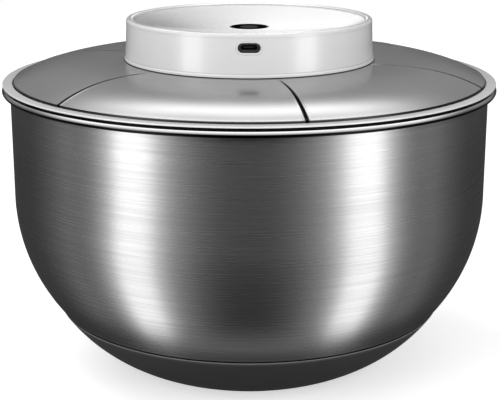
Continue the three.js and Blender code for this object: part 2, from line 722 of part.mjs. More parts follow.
function lidBaseShell() {
  const depth = DOME_SKIN + SEAT_GAP;
  const pocketBottom = sealTop - SEAL_HEIGHT - SEAT_GAP / 2;
  const collar = BOWL_RADIUS - BOWL_WALL - COLLAR_BACKSET;
  const collarBottom = gasketBottom + GASKET_HEIGHT + SEAT_GAP;
  return revolve([
    [SHAFT_RADIUS + RUN_GAP, wellBottom],
    [bearingBore, wellBottom],
    [bearingBore, pocketBottom],
    [bearingBore + BEARING_WALL, pocketBottom],
    [bearingBore + BEARING_WALL, wellBottom],
    [wellRadius + WELL_WALL, wellBottom],
    [wellRadius + WELL_WALL, roofBottom],
    ...domePoints(depth + ROOF_THICKNESS, skirtInner, 3),
    [skirtInner, SKIRT_BOTTOM_Z],
    [collar - COLLAR_BACKSET, SKIRT_BOTTOM_Z],
    [collar - COLLAR_BACKSET, SKIRT_BOTTOM_Z + COLLAR_HEIGHT],
    [lipRadius, SKIRT_BOTTOM_Z + COLLAR_HEIGHT],
    [lipRadius, collarBottom],
    [collar, collarBottom],
    [collar, flangeBottom],
    [rimRingOuter, flangeBottom],
    [rimRingOuter, rimRingTop],
    [rimRingInner, rimRingTop + RIM_RING_RISE],
    [rimRingInner, grooveFloor],
    [lipRadius, grooveFloor],
    ...domePoints(depth, lipRadius, 3).reverse(),
    [wellRadius, roofTop],
    [wellRadius, WELL_FLOOR_Z],
    [SHAFT_RADIUS + RUN_GAP, WELL_FLOOR_Z],
  ]);
}

function lidBase() {
  const postTop = coverBottom - SEAT_GAP;
  const posts = COVER_POSTS.map(([x, y]) => (
    rod(POST_WALL_RADIUS, WELL_FLOOR_Z - 1, postTop, SCREW_SEGMENTS).translate(x, y, 0)
  ));
  const postHoles = COVER_POSTS.map(([x, y]) => (
    rod(SCREW_HOLE, WELL_FLOOR_Z + 1, postTop + 1, SCREW_SEGMENTS).translate(x, y, 0)
  ));
  const pinHole = rod(IDLER_PIN_RADIUS + SEAT_GAP, wellBottom + 1, WELL_FLOOR_Z + 1, SCREW_SEGMENTS)
    .translate(idlerAt.x, idlerAt.y, 0);
  const roofHole = () => rod(SCREW_HOLE, roofBottom - 1, roofTop + 1, SCREW_SEGMENTS)
    .translate(housingScrewCircle, 0, 0);
  const roofHoles = around(roofHole, HOUSING_SCREW_COUNT, Math.PI / 4);
  return cut(join(lidBaseShell(), posts), [...postHoles, pinHole, ...roofHoles]);
}

// Seal with two soft lips that reach for the bowl's wall
function lidGasket() {
  const top = gasketBottom + GASKET_HEIGHT;
  const neck = gasketOuter - GASKET_LIP;
  return revolve([
    [gasketInner, gasketBottom],
    [neck, gasketBottom],
    [gasketOuter, gasketBottom + GASKET_HEIGHT / 4],
    [neck, gasketBottom + GASKET_HEIGHT / 2],
    [gasketOuter, top - GASKET_HEIGHT / 4],
    [neck, top],
    [gasketInner, top],
  ]);
}

addPiece('lid_dome', lidDome(), lidSteel);
addPiece('lid_base', lidBase(), whitePlastic);
addPiece('lid_gasket', lidGasket(), silicone);

// ---------------------------------------------------------------- bearings, seal and gearbox cover

// Holes through the cover and its standoffs, from below the cover to above the standoffs
function coverHole(x, y, radius, segments = SCREW_SEGMENTS) {
  return rod(radius, coverBottom - 1, BOARD_Z + 1, segments).translate(x, y, 0);
}

function motorEarsAt() {
  return [-1, 1].map((side) => [motorAt.x + side * MOTOR_EAR_OFFSET, motorAt.y]);
}

function gearboxCover() {
  const corners = [];
  const addRim = (x, y, radius) => {
    for (let i = 0; i < COVER_RIM_POINTS; i += 1) {
      const rim = polar(radius, 2 * Math.PI * i / COVER_RIM_POINTS);
      corners.push(new THREE.Vector3(x + rim.x, y + rim.y, coverBottom));
      corners.push(new THREE.Vector3(x + rim.x, y + rim.y, coverTop));
    }
  };
  COVER_POSTS.forEach(([x, y]) => addRim(x, y, COVER_MARGIN));
  motorEarsAt().forEach(([x, y]) => addRim(x, y, MOTOR_EAR_RADIUS));
  addRim(motorAt.x, motorAt.y, MOTOR_RADIUS);
  const standoffs = BOARD_STANDOFFS.map(([x, y]) => (
    rod(POST_WALL_RADIUS, coverTop - COVER_THICKNESS / 2, BOARD_Z - SEAT_GAP, SCREW_SEGMENTS)
      .translate(x, y, 0)
  ));
  return cut(join(new ConvexGeometry(corners), standoffs), [
    ...COVER_POSTS.map(([x, y]) => coverHole(x, y, SCREW_HOLE)),
    ...BOARD_STANDOFFS.map(([x, y]) => coverHole(x, y, SCREW_HOLE)),
    ...motorEarsAt().map(([x, y]) => coverHole(x, y, SCREW_HOLE)),
    coverHole(idlerAt.x, idlerAt.y, IDLER_PIN_RADIUS + SEAT_GAP),
    coverHole(motorAt.x, motorAt.y, 2 * MOTOR_SHAFT_RADIUS),
    coverHole(0, 0, UPPER_BUSH_RADIUS + SEAT_GAP, TURNED_SEGMENTS),
  ]);
}

const shaftBore = SHAFT_RADIUS + SEAT_GAP;
const shaftBearing = ring(shaftBore, BEARING_RADIUS, bearingBottom, bearingTop);
const shaftSeal = ring(shaftBore, BEARING_RADIUS, sealTop - SEAL_HEIGHT, sealTop);
const upperBush = ring(shaftBore, UPPER_BUSH_RADIUS, coverBottom, coverTop);
const idlerPin = rod(IDLER_PIN_RADIUS, wellBottom + 1 + SEAT_GAP, coverTop, SCREW_SEGMENTS)
  .translate(idlerAt.x, idlerAt.y, 0);

addPiece('shaft_bearing', shaftBearing, turnedSteel);
addPiece('shaft_seal', shaftSeal, silicone);
addPiece('upper_bush', upperBush, acetal);
addPiece('idler_pin', idlerPin, turnedSteel);
addPiece('gearbox_cover', gearboxCover(), darkPlastic);
COVER_POSTS.forEach(([x, y], i) => {
  const coverScrew = screw(coverTop, WELL_FLOOR_Z + 2 * SCREW_HEAD_HEIGHT).translate(x, y, 0);
  addPiece(`cover_screw_${i + 1}`, coverScrew, turnedSteel);
});

// ---------------------------------------------------------------- motor

function motor() {
  const bottom = coverTop + SEAT_GAP;
  const shaftHole = MOTOR_SHAFT_RADIUS + SEAT_GAP;
  const can = revolve([
    [0, bottom + MOTOR_HEIGHT / 3],
    [shaftHole, bottom + MOTOR_HEIGHT / 3],
    [shaftHole, bottom],
    [MOTOR_RADIUS, bottom],
    [MOTOR_RADIUS, bottom + MOTOR_HEIGHT],
    [0, bottom + MOTOR_HEIGHT],
  ], TURNED_SEGMENTS);
  const earSpan = 2 * (MOTOR_EAR_OFFSET + MOTOR_EAR_RADIUS);
  const earShape = stadium(THREE.Shape, earSpan, 2 * MOTOR_EAR_RADIUS);
  earShape.holes.push(new THREE.Path().absarc(0, 0, 2 * MOTOR_SHAFT_RADIUS, 0, 2 * Math.PI, true));
  [-1, 1].forEach((side) => {
    const hole = new THREE.Path().absarc(side * MOTOR_EAR_OFFSET, 0, SCREW_HOLE, 0, 2 * Math.PI, true);
    earShape.holes.push(hole);
  });
  const ears = plate(earShape, bottom, bottom + MOTOR_EAR_THICKNESS);
  return join(can, [ears]).translate(motorAt.x, motorAt.y, 0);
}

const motorShaftTop = coverTop + SEAT_GAP + MOTOR_HEIGHT / 3 - SEAT_GAP;
const motorShaft = rod(MOTOR_SHAFT_RADIUS, wheelBottom, motorShaftTop, SCREW_SEGMENTS)
  .translate(motorAt.x, motorAt.y, 0);

addPiece('motor', motor(), turnedSteel);
addPiece('motor_shaft', motorShaft, turnedSteel);
motorEarsAt().forEach(([x, y], i) => {
  const earTop = coverTop + SEAT_GAP + MOTOR_EAR_THICKNESS;
  addPiece(`motor_screw_${i + 1}`, screw(earTop, coverBottom + SEAT_GAP).translate(x, y, 0), turnedSteel);
});

// ---------------------------------------------------------------- hub housing, cap and button

function hubRadiusAt(height) {
  const share = (height - hubBottom) / (HUB_WALL_TOP_Z - hubBottom);
  return HUB_RADIUS + (hubTopRadius - HUB_RADIUS) * share;
}

function motorHousing() {
  const wall = revolve([
    [HUB_RADIUS - HUB_WALL, hubBottom],
    [HUB_RADIUS, hubBottom],
    [hubTopRadius, HUB_WALL_TOP_Z],
    [hubTopRadius - HUB_WALL, HUB_WALL_TOP_Z],
  ], HUB_SEGMENTS);
  const boss = () => (
    rod(HOUSING_BOSS_RADIUS, hubBottom, hubBottom + HOUSING_BOSS_HEIGHT, SCREW_SEGMENTS)
      .translate(housingScrewCircle, 0, 0)
  );
  const bossHole = () => (
    rod(SCREW_HOLE, hubBottom - 1, hubBottom + HOUSING_BOSS_HEIGHT - 1, SCREW_SEGMENTS)
      .translate(housingScrewCircle, 0, 0)
  );
  const shelfHalf = CHARGE_BOARD_WIDTH / 2 + 1;
  const shelfFront = hubRadiusAt(shelfTop) - HUB_WALL / 2;
  const shelf = block(
    [-shelfHalf, -shelfFront, shelfTop - SHELF_THICKNESS],
    [shelfHalf, -shelfBack, shelfTop],
  );
  const wallHole = stadium(
    THREE.Shape,
    PORT_WIDTH + 2 * (PORT_BEZEL_WALL + SEAT_GAP),
    PORT_HEIGHT + 2 * (PORT_BEZEL_WALL + SEAT_GAP),
  );
  return cut(join(wall, [...around(boss, HOUSING_SCREW_COUNT, Math.PI / 4), shelf]), [
    ...around(bossHole, HOUSING_SCREW_COUNT, Math.PI / 4),
    portPrism(wallHole, -HUB_RADIUS - 1, -chargeBoardFront),
  ]);
}

function dishHeight(radius) {
  return CAP_CENTRE_Z + (CAP_LIP_Z - CAP_CENTRE_Z) * (radius / capLipRadius) ** 2;
}

function housingCap() {
  const guideBore = BUTTON_RADIUS + SLIDE_GAP;
  const guideRadius = guideBore + GUIDE_WALL;
  const plugOuter = hubTopRadius - HUB_WALL - SLIDE_GAP;
  const plugInner = plugOuter - CAP_SKIRT_WALL;
  const dish = [guideBore, 0.5 * capLipRadius, 0.78 * capLipRadius, capLipRadius];
  const underside = [plugInner, 0.6 * capLipRadius, guideRadius];
  const crown = CAP_CREST_Z - capBottom;
  return revolve([
    ...dish.map((radius) => [radius, dishHeight(radius)]),
    [capLipRadius + 0.3 * crown, CAP_CREST_Z - 0.1 * crown],
    [capLipRadius + 0.9 * crown, CAP_CREST_Z],
    [hubTopRadius - 0.25 * crown, CAP_CREST_Z - 0.3 * crown],
    [hubTopRadius, capBottom + 0.3 * crown],
    [hubTopRadius, capBottom],
    [plugOuter, capBottom],
    [plugOuter, capBottom - CAP_SKIRT_DEPTH],
    [plugInner, capBottom - CAP_SKIRT_DEPTH],
    ...underside.map((radius) => [radius, dishHeight(radius) - CAP_THICKNESS]),
    [guideRadius, GUIDE_BOTTOM_Z],
    [guideBore, GUIDE_BOTTOM_Z],
  ], HUB_SEGMENTS);
}

function powerButton() {
  const top = dishHeight(BUTTON_RADIUS) + BUTTON_RISE;
  const flangeRadius = BUTTON_RADIUS + SLIDE_GAP + GUIDE_WALL / 2;
  return revolve([
    [0, buttonBottom],
    [flangeRadius, buttonBottom],
    [flangeRadius, buttonFlangeTop],
    [BUTTON_RADIUS, buttonFlangeTop],
    [BUTTON_RADIUS, top - BUTTON_EDGE],
    [BUTTON_RADIUS - BUTTON_EDGE, top],
    [0, top],
  ], TURNED_SEGMENTS);
}

function buttonSpring() {
  const bottom = boardTop + SEAT_GAP + SPRING_WIRE;
  const rise = buttonBottom - SEAT_GAP - SPRING_WIRE - bottom;
  const stepsPerTurn = 10;
  const points = Array.from({ length: SPRING_TURNS * stepsPerTurn + 1 }, (unused, i) => {
    const turn = polar(SPRING_RADIUS, 2 * Math.PI * i / stepsPerTurn);
    return new THREE.Vector3(turn.x, turn.y, bottom + rise * i / (SPRING_TURNS * stepsPerTurn));
  });
  return tube(new THREE.CatmullRomCurve3(points), SPRING_WIRE, SPRING_TURNS * stepsPerTurn, 4);
}

addPiece('motor_housing', motorHousing(), whitePlastic);
addPiece('housing_cap', housingCap(), whitePlastic);
addPiece('power_button', powerButton(), darkPlastic);
addPiece('button_spring', buttonSpring(), turnedSteel);
around(
  () => screw(roofBottom, hubBottom + HOUSING_BOSS_HEIGHT - 2).translate(housingScrewCircle, 0, 0),
  HOUSING_SCREW_COUNT,
  Math.PI / 4,
).forEach((geometry, i) => addPiece(`housing_screw_${i + 1}`, geometry, turnedSteel));

// ---------------------------------------------------------------- charging port

function portBezel() {
  const shape = stadium(THREE.Shape, PORT_WIDTH + 2 * PORT_BEZEL_WALL, PORT_HEIGHT + 2 * PORT_BEZEL_WALL);
  shape.holes.push(stadium(THREE.Path, PORT_WIDTH, PORT_HEIGHT));
  return portPrism(shape, -portBezelFront, PORT_BEZEL_DEPTH - portBezelFront);
}

function socketShell() {
  const shape = stadium(THREE.Shape, SOCKET_WIDTH, SOCKET_HEIGHT);
  shape.holes.push(stadium(THREE.Path, SOCKET_WIDTH - 2 * SOCKET_SHELL, SOCKET_HEIGHT - 2 * SOCKET_SHELL));
  return portPrism(shape, -socketFront, SOCKET_LENGTH - socketFront);
}

// Contact tongue with the plastic core that holds it at the back of the shell
function socketTongue() {
  const back = SOCKET_LENGTH - socketFront;
  const coreHalfWidth = TONGUE_WIDTH / 2;
  const coreHalfHeight = SOCKET_HEIGHT / 2 - SOCKET_SHELL - SEAT_GAP;
  const coreFront = back - (SOCKET_LENGTH - TONGUE_LENGTH);
  const core = block(
    [-coreHalfWidth, coreFront, portZ - coreHalfHeight],
    [coreHalfWidth, back, portZ + coreHalfHeight],
  );
  const tongue = block(
    [-TONGUE_WIDTH / 2 + 1, coreFront - TONGUE_LENGTH + 1, portZ - TONGUE_THICKNESS / 2],
    [TONGUE_WIDTH / 2 - 1, back - 1, portZ + TONGUE_THICKNESS / 2],
  );
  return join(core, [tongue]);
}

const chargeBoard = block(
  [-CHARGE_BOARD_WIDTH / 2, -chargeBoardFront, shelfTop + SEAT_GAP],
  [CHARGE_BOARD_WIDTH / 2, -chargeBoardFront + CHARGE_BOARD_LENGTH, chargeBoardTop],
);

addPiece('port_bezel', portBezel(), whitePlastic);
addPiece('socket_shell', socketShell(), turnedSteel);
addPiece('socket_tongue', socketTongue(), darkPlastic);
addPiece('charge_board', chargeBoard, boardGreen);

// ---------------------------------------------------------------- control board, switch and battery

function controlBoard() {
  const board = block([...BOARD_LOW, BOARD_Z], [...BOARD_HIGH, boardTop]);
  return cut(board, BOARD_STANDOFFS.map(([x, y]) => coverHole(x, y, SCREW_HOLE).translate(0, 0, 2)));
}

function tactSwitch() {
  const bottom = boardTop + SEAT_GAP;
  const half = SWITCH_SIZE / 2;
  const body = block([-half, -half, bottom], [half, half, bottom + SWITCH_HEIGHT]);
  const plungerTop = buttonBottom - BUTTON_TRAVEL - SEAT_GAP;
  return join(body, [rod(PLUNGER_RADIUS, bottom + 1, plungerTop, SCREW_SEGMENTS)]);
}

// Trough that holds the cell by its lower half
function batteryCradle() {
  const troughRadius = CELL_RADIUS + SEAT_GAP;
  const half = troughRadius + CRADLE_WALL;
  const bottom = WELL_FLOOR_Z + SEAT_GAP;
  const top = bottom + CRADLE_HEIGHT;
  const side = Math.asin((top - cellZ) / troughRadius);
  const shape = new THREE.Shape();
  shape.moveTo(-half, bottom);
  shape.lineTo(half, bottom);
  shape.lineTo(half, top);
  shape.absarc(0, cellZ, troughRadius, side, Math.PI - side, true);
  shape.lineTo(-half, top);
  return plate(shape, -CRADLE_LENGTH / 2, CRADLE_LENGTH / 2, 8)
    .rotateX(Math.PI / 2)
    .rotateZ(Math.PI / 2)
    .translate(0, CELL_Y, 0);
}

const batteryCell = rod(CELL_RADIUS, -CELL_LENGTH / 2, CELL_LENGTH / 2)
  .rotateY(Math.PI / 2)
  .translate(0, CELL_Y, cellZ);

addPiece('control_board', controlBoard(), boardGreen);
addPiece('tact_switch', tactSwitch(), darkPlastic);
addPiece('battery_cradle', batteryCradle(), darkPlastic);
addPiece('battery_cell', batteryCell, cellWrap);
BOARD_STANDOFFS.forEach(([x, y], i) => {
  addPiece(`board_screw_${i + 1}`, screw(boardTop, coverTop).translate(x, y, 0), turnedSteel);
});

// ---------------------------------------------------------------- leads

function lead(points) {
  const path = new THREE.CatmullRomCurve3(points.map((point) => new THREE.Vector3(...point)));
  return tube(path, LEAD_RADIUS, LEAD_STEPS);
}

const boardPad = boardTop + SEAT_GAP;
const motorTop = coverTop + 2 * SEAT_GAP + MOTOR_HEIGHT;
const cellEnd = CELL_LENGTH / 2 + SEAT_GAP;

addPiece('motor_lead', lead([
  [motorAt.x + 6, motorAt.y + 6, motorTop],
  [motorAt.x + 6.5, motorAt.y + 6.8, motorTop + 1.8],
  [motorAt.x + 10, motorAt.y + 13, motorTop + 0.6],
  [-10, -14, boardPad + 2],
  [-10, -13, boardPad],
]), leadSleeve);
addPiece('battery_lead', lead([
  [cellEnd, CELL_Y, cellZ],
  [cellEnd + 3, CELL_Y - 1, cellZ + 1],
  [cellEnd + 2, CELL_Y - 10, cellZ + 7],
  [25, 17, boardPad + 3],
  [24, 16, boardPad],
]), leadSleeve);
addPiece('charge_lead', lead([
  [0, -shelfBack - 3, chargeBoardTop + SEAT_GAP],
  [0, -shelfBack - 2.8, chargeBoardTop + 1.5],
  [2, -shelfBack + 2, chargeBoardTop + 1.8],
  [14, -14.5, boardPad + 2.5],
  [14, -14, boardPad],
]), leadSleeve);

export default salad;
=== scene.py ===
"""Looks of a rechargeable salad spinner: brushed steel bowl in a soft sleeve, satin steel lid with six
creases, white hub with a button and a charging opening, and the working parts inside.

Lengths are in millimetres until make() turns them into metres, and heights are above the foot. Radii and
heights come from the boxes of the CAD nodes.
"""

import json
from math import asin, atan2, ceil, cos, degrees, dist, exp, hypot, pi, radians, sin, tan, tau

import bmesh
import bpy
from mathutils import Matrix, Vector

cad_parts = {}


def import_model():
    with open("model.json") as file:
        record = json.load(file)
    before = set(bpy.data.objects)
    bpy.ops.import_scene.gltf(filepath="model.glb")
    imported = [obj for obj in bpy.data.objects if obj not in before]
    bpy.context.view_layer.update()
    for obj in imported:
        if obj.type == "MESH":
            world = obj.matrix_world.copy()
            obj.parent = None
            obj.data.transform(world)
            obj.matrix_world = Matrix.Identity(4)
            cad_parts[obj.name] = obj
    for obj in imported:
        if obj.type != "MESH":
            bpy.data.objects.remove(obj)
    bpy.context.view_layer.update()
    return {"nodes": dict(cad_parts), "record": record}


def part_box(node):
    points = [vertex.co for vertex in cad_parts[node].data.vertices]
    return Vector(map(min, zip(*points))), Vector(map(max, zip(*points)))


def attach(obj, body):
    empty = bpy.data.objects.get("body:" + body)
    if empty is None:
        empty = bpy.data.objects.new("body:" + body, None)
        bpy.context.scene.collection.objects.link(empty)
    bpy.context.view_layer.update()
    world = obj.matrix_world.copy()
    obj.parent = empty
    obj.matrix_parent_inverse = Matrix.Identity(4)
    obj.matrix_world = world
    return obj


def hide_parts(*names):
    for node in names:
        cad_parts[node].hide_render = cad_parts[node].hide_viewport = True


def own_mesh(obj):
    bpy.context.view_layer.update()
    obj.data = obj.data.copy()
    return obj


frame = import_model()

MM = 0.001
SEGMENTS = 192
FILLET_STEP = 18
ON_AXIS = 1e-6
SCREW_HOLE = 1.6


# --- outlines, as (radius, height) points


def polar(radius, angle, *height):
    """Point at a radius and an angle in radians, with its height if it has one."""
    return (radius * cos(angle), radius * sin(angle), *height)


def arc(centre, radius, start, end, steps):
    """Points of an arc between two angles in degrees, both ends included."""
    points = []
    for i in range(steps + 1):
        across, up = polar(radius, radians(start + (end - start) * i / steps))
        points.append((centre[0] + across, centre[1] + up))
    return points


def side_arc(centre, radius, start, end, steps):
    """Points on the outer side of a circle between two heights."""
    angles = [degrees(asin((height - centre[1]) / radius)) for height in (start, end)]
    return arc(centre, radius, *angles, steps)


def rounded(corners, closed=True):
    """Outline through corners (radius, height, fillet). A corner with no fillet value stays sharp."""
    outline = []
    count = len(corners)
    for i, corner in enumerate(corners):
        here = Vector(corner[:2])
        fillet = corner[2] if len(corner) > 2 else 0
        if not fillet or (not closed and i in (0, count - 1)):
            outline.append(tuple(here))
            continue
        back = Vector(corners[i - 1][:2]) - here
        ahead = Vector(corners[(i + 1) % count][:2]) - here
        half = back.angle(ahead) / 2
        cut = min(fillet / tan(half), 0.49 * back.length, 0.49 * ahead.length)
        radius = cut * tan(half)
        back.normalize()
        ahead.normalize()
        centre = here + (back + ahead).normalized() * radius / sin(half)
        start = here + back * cut - centre
        end = here + ahead * cut - centre
        turn = start.angle_signed(end)
        steps = max(2, ceil(abs(turn) / radians(FILLET_STEP)))
        for step in range(steps + 1):
            angle = -turn * step / steps
            cosine, sine = cos(angle), sin(angle)
            spoke = Vector((start.x * cosine - start.y * sine, start.x * sine + start.y * cosine))
            outline.append(tuple(centre + spoke))
    return outline


def follow(curve, depth, inner, outer, steps):
    """Points a fixed depth under a curve height(radius), from one radius to another."""
    points = []
    for i in range(steps + 1):
        radius = inner + (outer - inner) * i / steps
        points.append((radius, curve(radius) - depth))
    return points


def smooth(value, low, high):
    """0 below low, 1 above high, and a smooth step between."""
    share = min(1, max(0, (value - low) / (high - low)))
    return share * share * (3 - 2 * share)


def extent(node):
    """Outer radius, bottom and top of a CAD node about the Z axis."""
    low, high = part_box(node)
    return high.x / MM, low.z / MM, high.z / MM


# --- meshes


def linked(name, data):
    """New object in the scene."""
    item = bpy.data.objects.new(name, data)
    bpy.context.scene.collection.objects.link(item)
    return item


def make(name, mesh, finish):
    """Object in metres from a bmesh in millimetres, smooth, with its material."""
    bmesh.ops.recalc_face_normals(mesh, faces=mesh.faces)
    bmesh.ops.scale(mesh, vec=(MM, MM, MM), verts=mesh.verts)
    data = bpy.data.meshes.new(name)
    mesh.to_mesh(data)
    mesh.free()
    data.materials.append(finish)
    data.shade_smooth()
    return linked(name, data)


def skin(mesh, loops):
    """Faces between each closed loop of vertices and the next. Loops on the axis repeat one vertex."""
    for lower, upper in zip(loops, loops[1:]):
        for i in range(len(lower)):
            after = (i + 1) % len(lower)
            corners = [lower[i], lower[after], upper[after], upper[i]]
            mesh.faces.new(list(dict.fromkeys(corners)))


def turned(outline, shift=None):
    """Solid of an outline turned about Z, as a bmesh. It closes on itself unless both ends are on the axis.

    The vertex layer "run" holds the length along the outline in metres. For a piece with the lid's creases,
    shift(azimuth, radius, height) gives a small move (radius, height) of each point.
    """
    columns = crease_columns() if shift else [tau * i / SEGMENTS for i in range(SEGMENTS)]
    mesh = bmesh.new()
    run_layer = mesh.verts.layers.float.new("run")
    rings = []
    run = 0
    previous = outline[0]
    for point in outline:
        run += dist(previous, point)
        previous = point
        ring = []
        for azimuth in columns:
            radius, height = point
            if radius < ON_AXIS and ring:
                ring.append(ring[0])
                continue
            if shift:
                move = shift(azimuth, radius, height)
                radius += move[0]
                height += move[1]
            vertex = mesh.verts.new(polar(radius, azimuth, height))
            vertex[run_layer] = run * MM
            ring.append(vertex)
        rings.append(ring)
    if max(outline[0][0], outline[-1][0]) > ON_AXIS:
        rings.append(rings[0])
    skin(mesh, rings)
    return mesh


def revolved(name, slot, corners, closed=True, shift=None):
    """Piece turned about Z from the corners of its outline, with the finish of its slot."""
    return make(name, turned(rounded(corners, closed), shift), finishes[slot])


def stadium(width, height, steps=12):
    """Outline of a slot with round ends about the origin, as (across, up) points."""
    wide = max(width - height, 0) / 2
    tall = max(height - width, 0) / 2
    first = 0 if wide else pi / 2
    points = []
    for side in (1, -1):
        for i in range(steps + 1):
            across, up = polar(min(width, height) / 2, pi * (i / steps - side / 2) + first)
            points.append((across + side * wide, up + side * tall))
    return points


def prism(outline, near, far, place=lambda *point: point):
    """Solid between two copies of an outline. place(across, up, depth) gives each point."""
    mesh = bmesh.new()
    front = [mesh.verts.new(place(across, up, near)) for across, up in outline]
    back = [mesh.verts.new(place(across, up, far)) for across, up in outline]
    mesh.faces.new(front)
    mesh.faces.new(back[::-1])
    skin(mesh, (back, front))
    return mesh


def rod(radius, bottom, top, x, y=0.0):
    """Upright cylinder as a bmesh."""
    sides = 40
    circle = [polar(radius, tau * i / sides) for i in range(sides)]
    return prism([(x + across, y + up) for across, up in circle], top, bottom)


def block(low, high):
    """Box between two corners as a bmesh."""
    outline = [(low[0], low[1]), (high[0], low[1]), (high[0], high[1]), (low[0], high[1])]
    return prism(outline, high[2], low[2])


def repeated(build, count, start):
    """Copies of a bmesh turned about Z in even steps from an azimuth in radians."""
    parts = []
    for i in range(count):
        part = build()
        turn = Matrix.Rotation(start + tau * i / count, 3, "Z")
        bmesh.ops.rotate(part, matrix=turn, verts=part.verts)
        parts.append(part)
    return parts


def boolean(piece, operation, parts):
    """Joins parts to a piece, or cuts them away."""
    whole = bmesh.new()
    for part in parts:
        data = bpy.data.meshes.new("part")
        bmesh.ops.recalc_face_normals(part, faces=part.faces)
        part.to_mesh(data)
        part.free()
        whole.from_mesh(data)
        bpy.data.meshes.remove(data)
    tool = make("tool", whole, piece.data.materials[0])
    change = piece.modifiers.new("change", "BOOLEAN")
    change.operation = operation
    change.solver = "EXACT"
    change.object = tool
    bpy.context.view_layer.update()
    evaluated = piece.evaluated_get(bpy.context.evaluated_depsgraph_get())
    data = bpy.data.meshes.new_from_object(evaluated)
    piece.modifiers.clear()
    piece.data = data
    bpy.data.meshes.remove(tool.data)


def mark(piece, name, amount):
    """Writes an amount from 0 to 1 at each point for the finish: painted shade, painted highlight or
    polish.
    """
    layer = piece.data.attributes.new(name, "FLOAT", "POINT")
    for vertex, value in zip(piece.data.vertices, layer.data):
        x, y, z = vertex.co / MM
        value.value = amount(atan2(y, x), hypot(x, y), z)


def stand_for(piece, body, slot, *nodes, bevel=0.0, sharp=35):
    """Keeps or rounds the sharp edges of a piece, and puts it on its body in place of its CAD nodes."""
    piece.data.set_sharp_from_angle(angle=radians(sharp))
    if bevel:
        change = piece.modifiers.new("bevel", "BEVEL")
        change.width = bevel * MM
        change.segments = 2
        change.limit_method = "ANGLE"
        change.angle_limit = radians(sharp)
        change.use_clamp_overlap = True
    piece.modifiers.new("weighted", "WEIGHTED_NORMAL").keep_sharp = True
    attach(piece, body)
    if nodes:
        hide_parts(*nodes)


# --- material nodes


class Nodes:
    """Node tree of a material or world. Its helpers add nodes, whose inputs take a value or an output."""

    def __init__(self, owner):
        owner.use_nodes = True
        self.tree = owner.node_tree

    def add(self, kind, inputs=(), **settings):
        """A node with inputs in order, or by name or place in a dict."""
        node = self.tree.nodes.new("ShaderNode" + kind)
        for key, value in settings.items():
            setattr(node, key, value)
        for key, value in inputs.items() if isinstance(inputs, dict) else enumerate(inputs):
            self.connect(node.inputs[key], value)
        return node

    def connect(self, socket, value):
        if isinstance(value, bpy.types.NodeSocket):
            self.tree.links.new(value, socket)
        else:
            socket.default_value = value

    def math(self, operation, *values):
        return self.add("Math", values, operation=operation).outputs[0]

    def product(self, first, *others):
        for other in others:
            first = self.math("MULTIPLY", first, other)
        return first

    def vector(self, operation, *values):
        return self.add("VectorMath", values, operation=operation).outputs

    def spread(self, value, low, high, from_low=0.3, from_high=0.7):
        """The value between from_low and from_high, spread between low and high."""
        return self.add("MapRange", (value, from_low, from_high, low, high)).outputs[0]


class Finish(Nodes):
    """A procedural material on the main shader."""

    def __init__(self, name, metallic=0.0):
        self.material = bpy.data.materials.new(name)
        super().__init__(self.material)
        self.shader = self.tree.nodes["Principled BSDF"]
        self.set("Metallic", metallic)
        self.place = self.add("TexCoord").outputs["Object"]

    def set(self, socket, value):
        self.connect(self.shader.inputs[socket], value)

    def marked(self, name):
        """The amount that mark() wrote on the mesh, or another layer of it."""
        return self.add("Attribute", attribute_name=name).outputs["Fac"]

    def average(self, first, second, share):
        """Sum of a share of the first value and the rest of the second."""
        return self.math("ADD", self.product(first, share), self.product(second, 1 - share))

    def scaled(self, x, y, z):
        return self.vector("MULTIPLY", self.place, (x, y, z))[0]

    def noise(self, scale, detail=2, vector=None, roughness=0.5):
        inputs = {"Vector": vector or self.place, "Scale": scale, "Detail": detail, "Roughness": roughness}
        return self.add("TexNoise", inputs).outputs["Fac"]

    def tint(self, value, first, second):
        """A colour between two colours, each a tuple or an output, by a value from 0 to 1."""
        inputs = {0: value}
        for socket, colour in ((6, first), (7, second)):
            inputs[socket] = (*colour, 1) if isinstance(colour, tuple) else colour
        return self.add("Mix", inputs, data_type="RGBA").outputs[2]

    def with_painted_shade(self, colour, dark):
        """The colour with painted shade: a dark grey where the mesh is marked as shaded."""
        return self.tint(self.marked("painted_shade"), colour, grey(dark))

    def relief(self, height, depth, strength):
        """Bump of a height from 0 to 1 that is some millimetres deep."""
        bump = self.add("Bump", {"Height": height, "Distance": depth * MM, "Strength": strength})
        self.set("Normal", bump.outputs[0])


def grey(value, warm=0.0):
    """A grey in linear light, a little warm if asked."""
    return (value * (1 + warm), value, value * (1 - warm))


def brushed_steel(name, base, roughness):
    """Steel brushed round its axis: long fine streaks, reflections drawn out up and down."""
    finish = Finish(name, metallic=1.0)
    x, y, _ = finish.add("SeparateXYZ", (finish.place,)).outputs

    def streaks(around, along):
        """Noise on two scales: how fast it changes round the axis, and along the outline."""
        run = finish.marked("run")
        inputs = (finish.product(x, around), finish.product(y, around), finish.product(run, along))
        vector = finish.add("CombineXYZ", inputs).outputs[0]
        return finish.noise(1.0, detail=3, vector=vector, roughness=0.6)

    both = finish.average(streaks(14, 1700), streaks(5, 420), 0.65)
    low, high = 0.36, 0.64
    steel = finish.tint(finish.spread(both, 0, 1, low, high), grey(base * 0.9), grey(base * 1.09))
    # Painted shade, dark grey, under the bead and in the seam over the sleeve
    finish.set("Base Color", finish.with_painted_shade(steel, 0.01))
    plain = finish.spread(both, roughness + 0.015, roughness - 0.015, low, high)
    polish = finish.product(finish.marked("polish"), 0.14)
    finish.set("Roughness", finish.math("SUBTRACT", plain, polish))
    finish.set("Anisotropic", 0.75)
    finish.set("Anisotropic Rotation", 0.25)
    finish.set("Tangent", finish.add("Tangent", direction_type="RADIAL", axis="Z").outputs[0])
    finish.relief(both, 0.012, 0.35)
    return finish


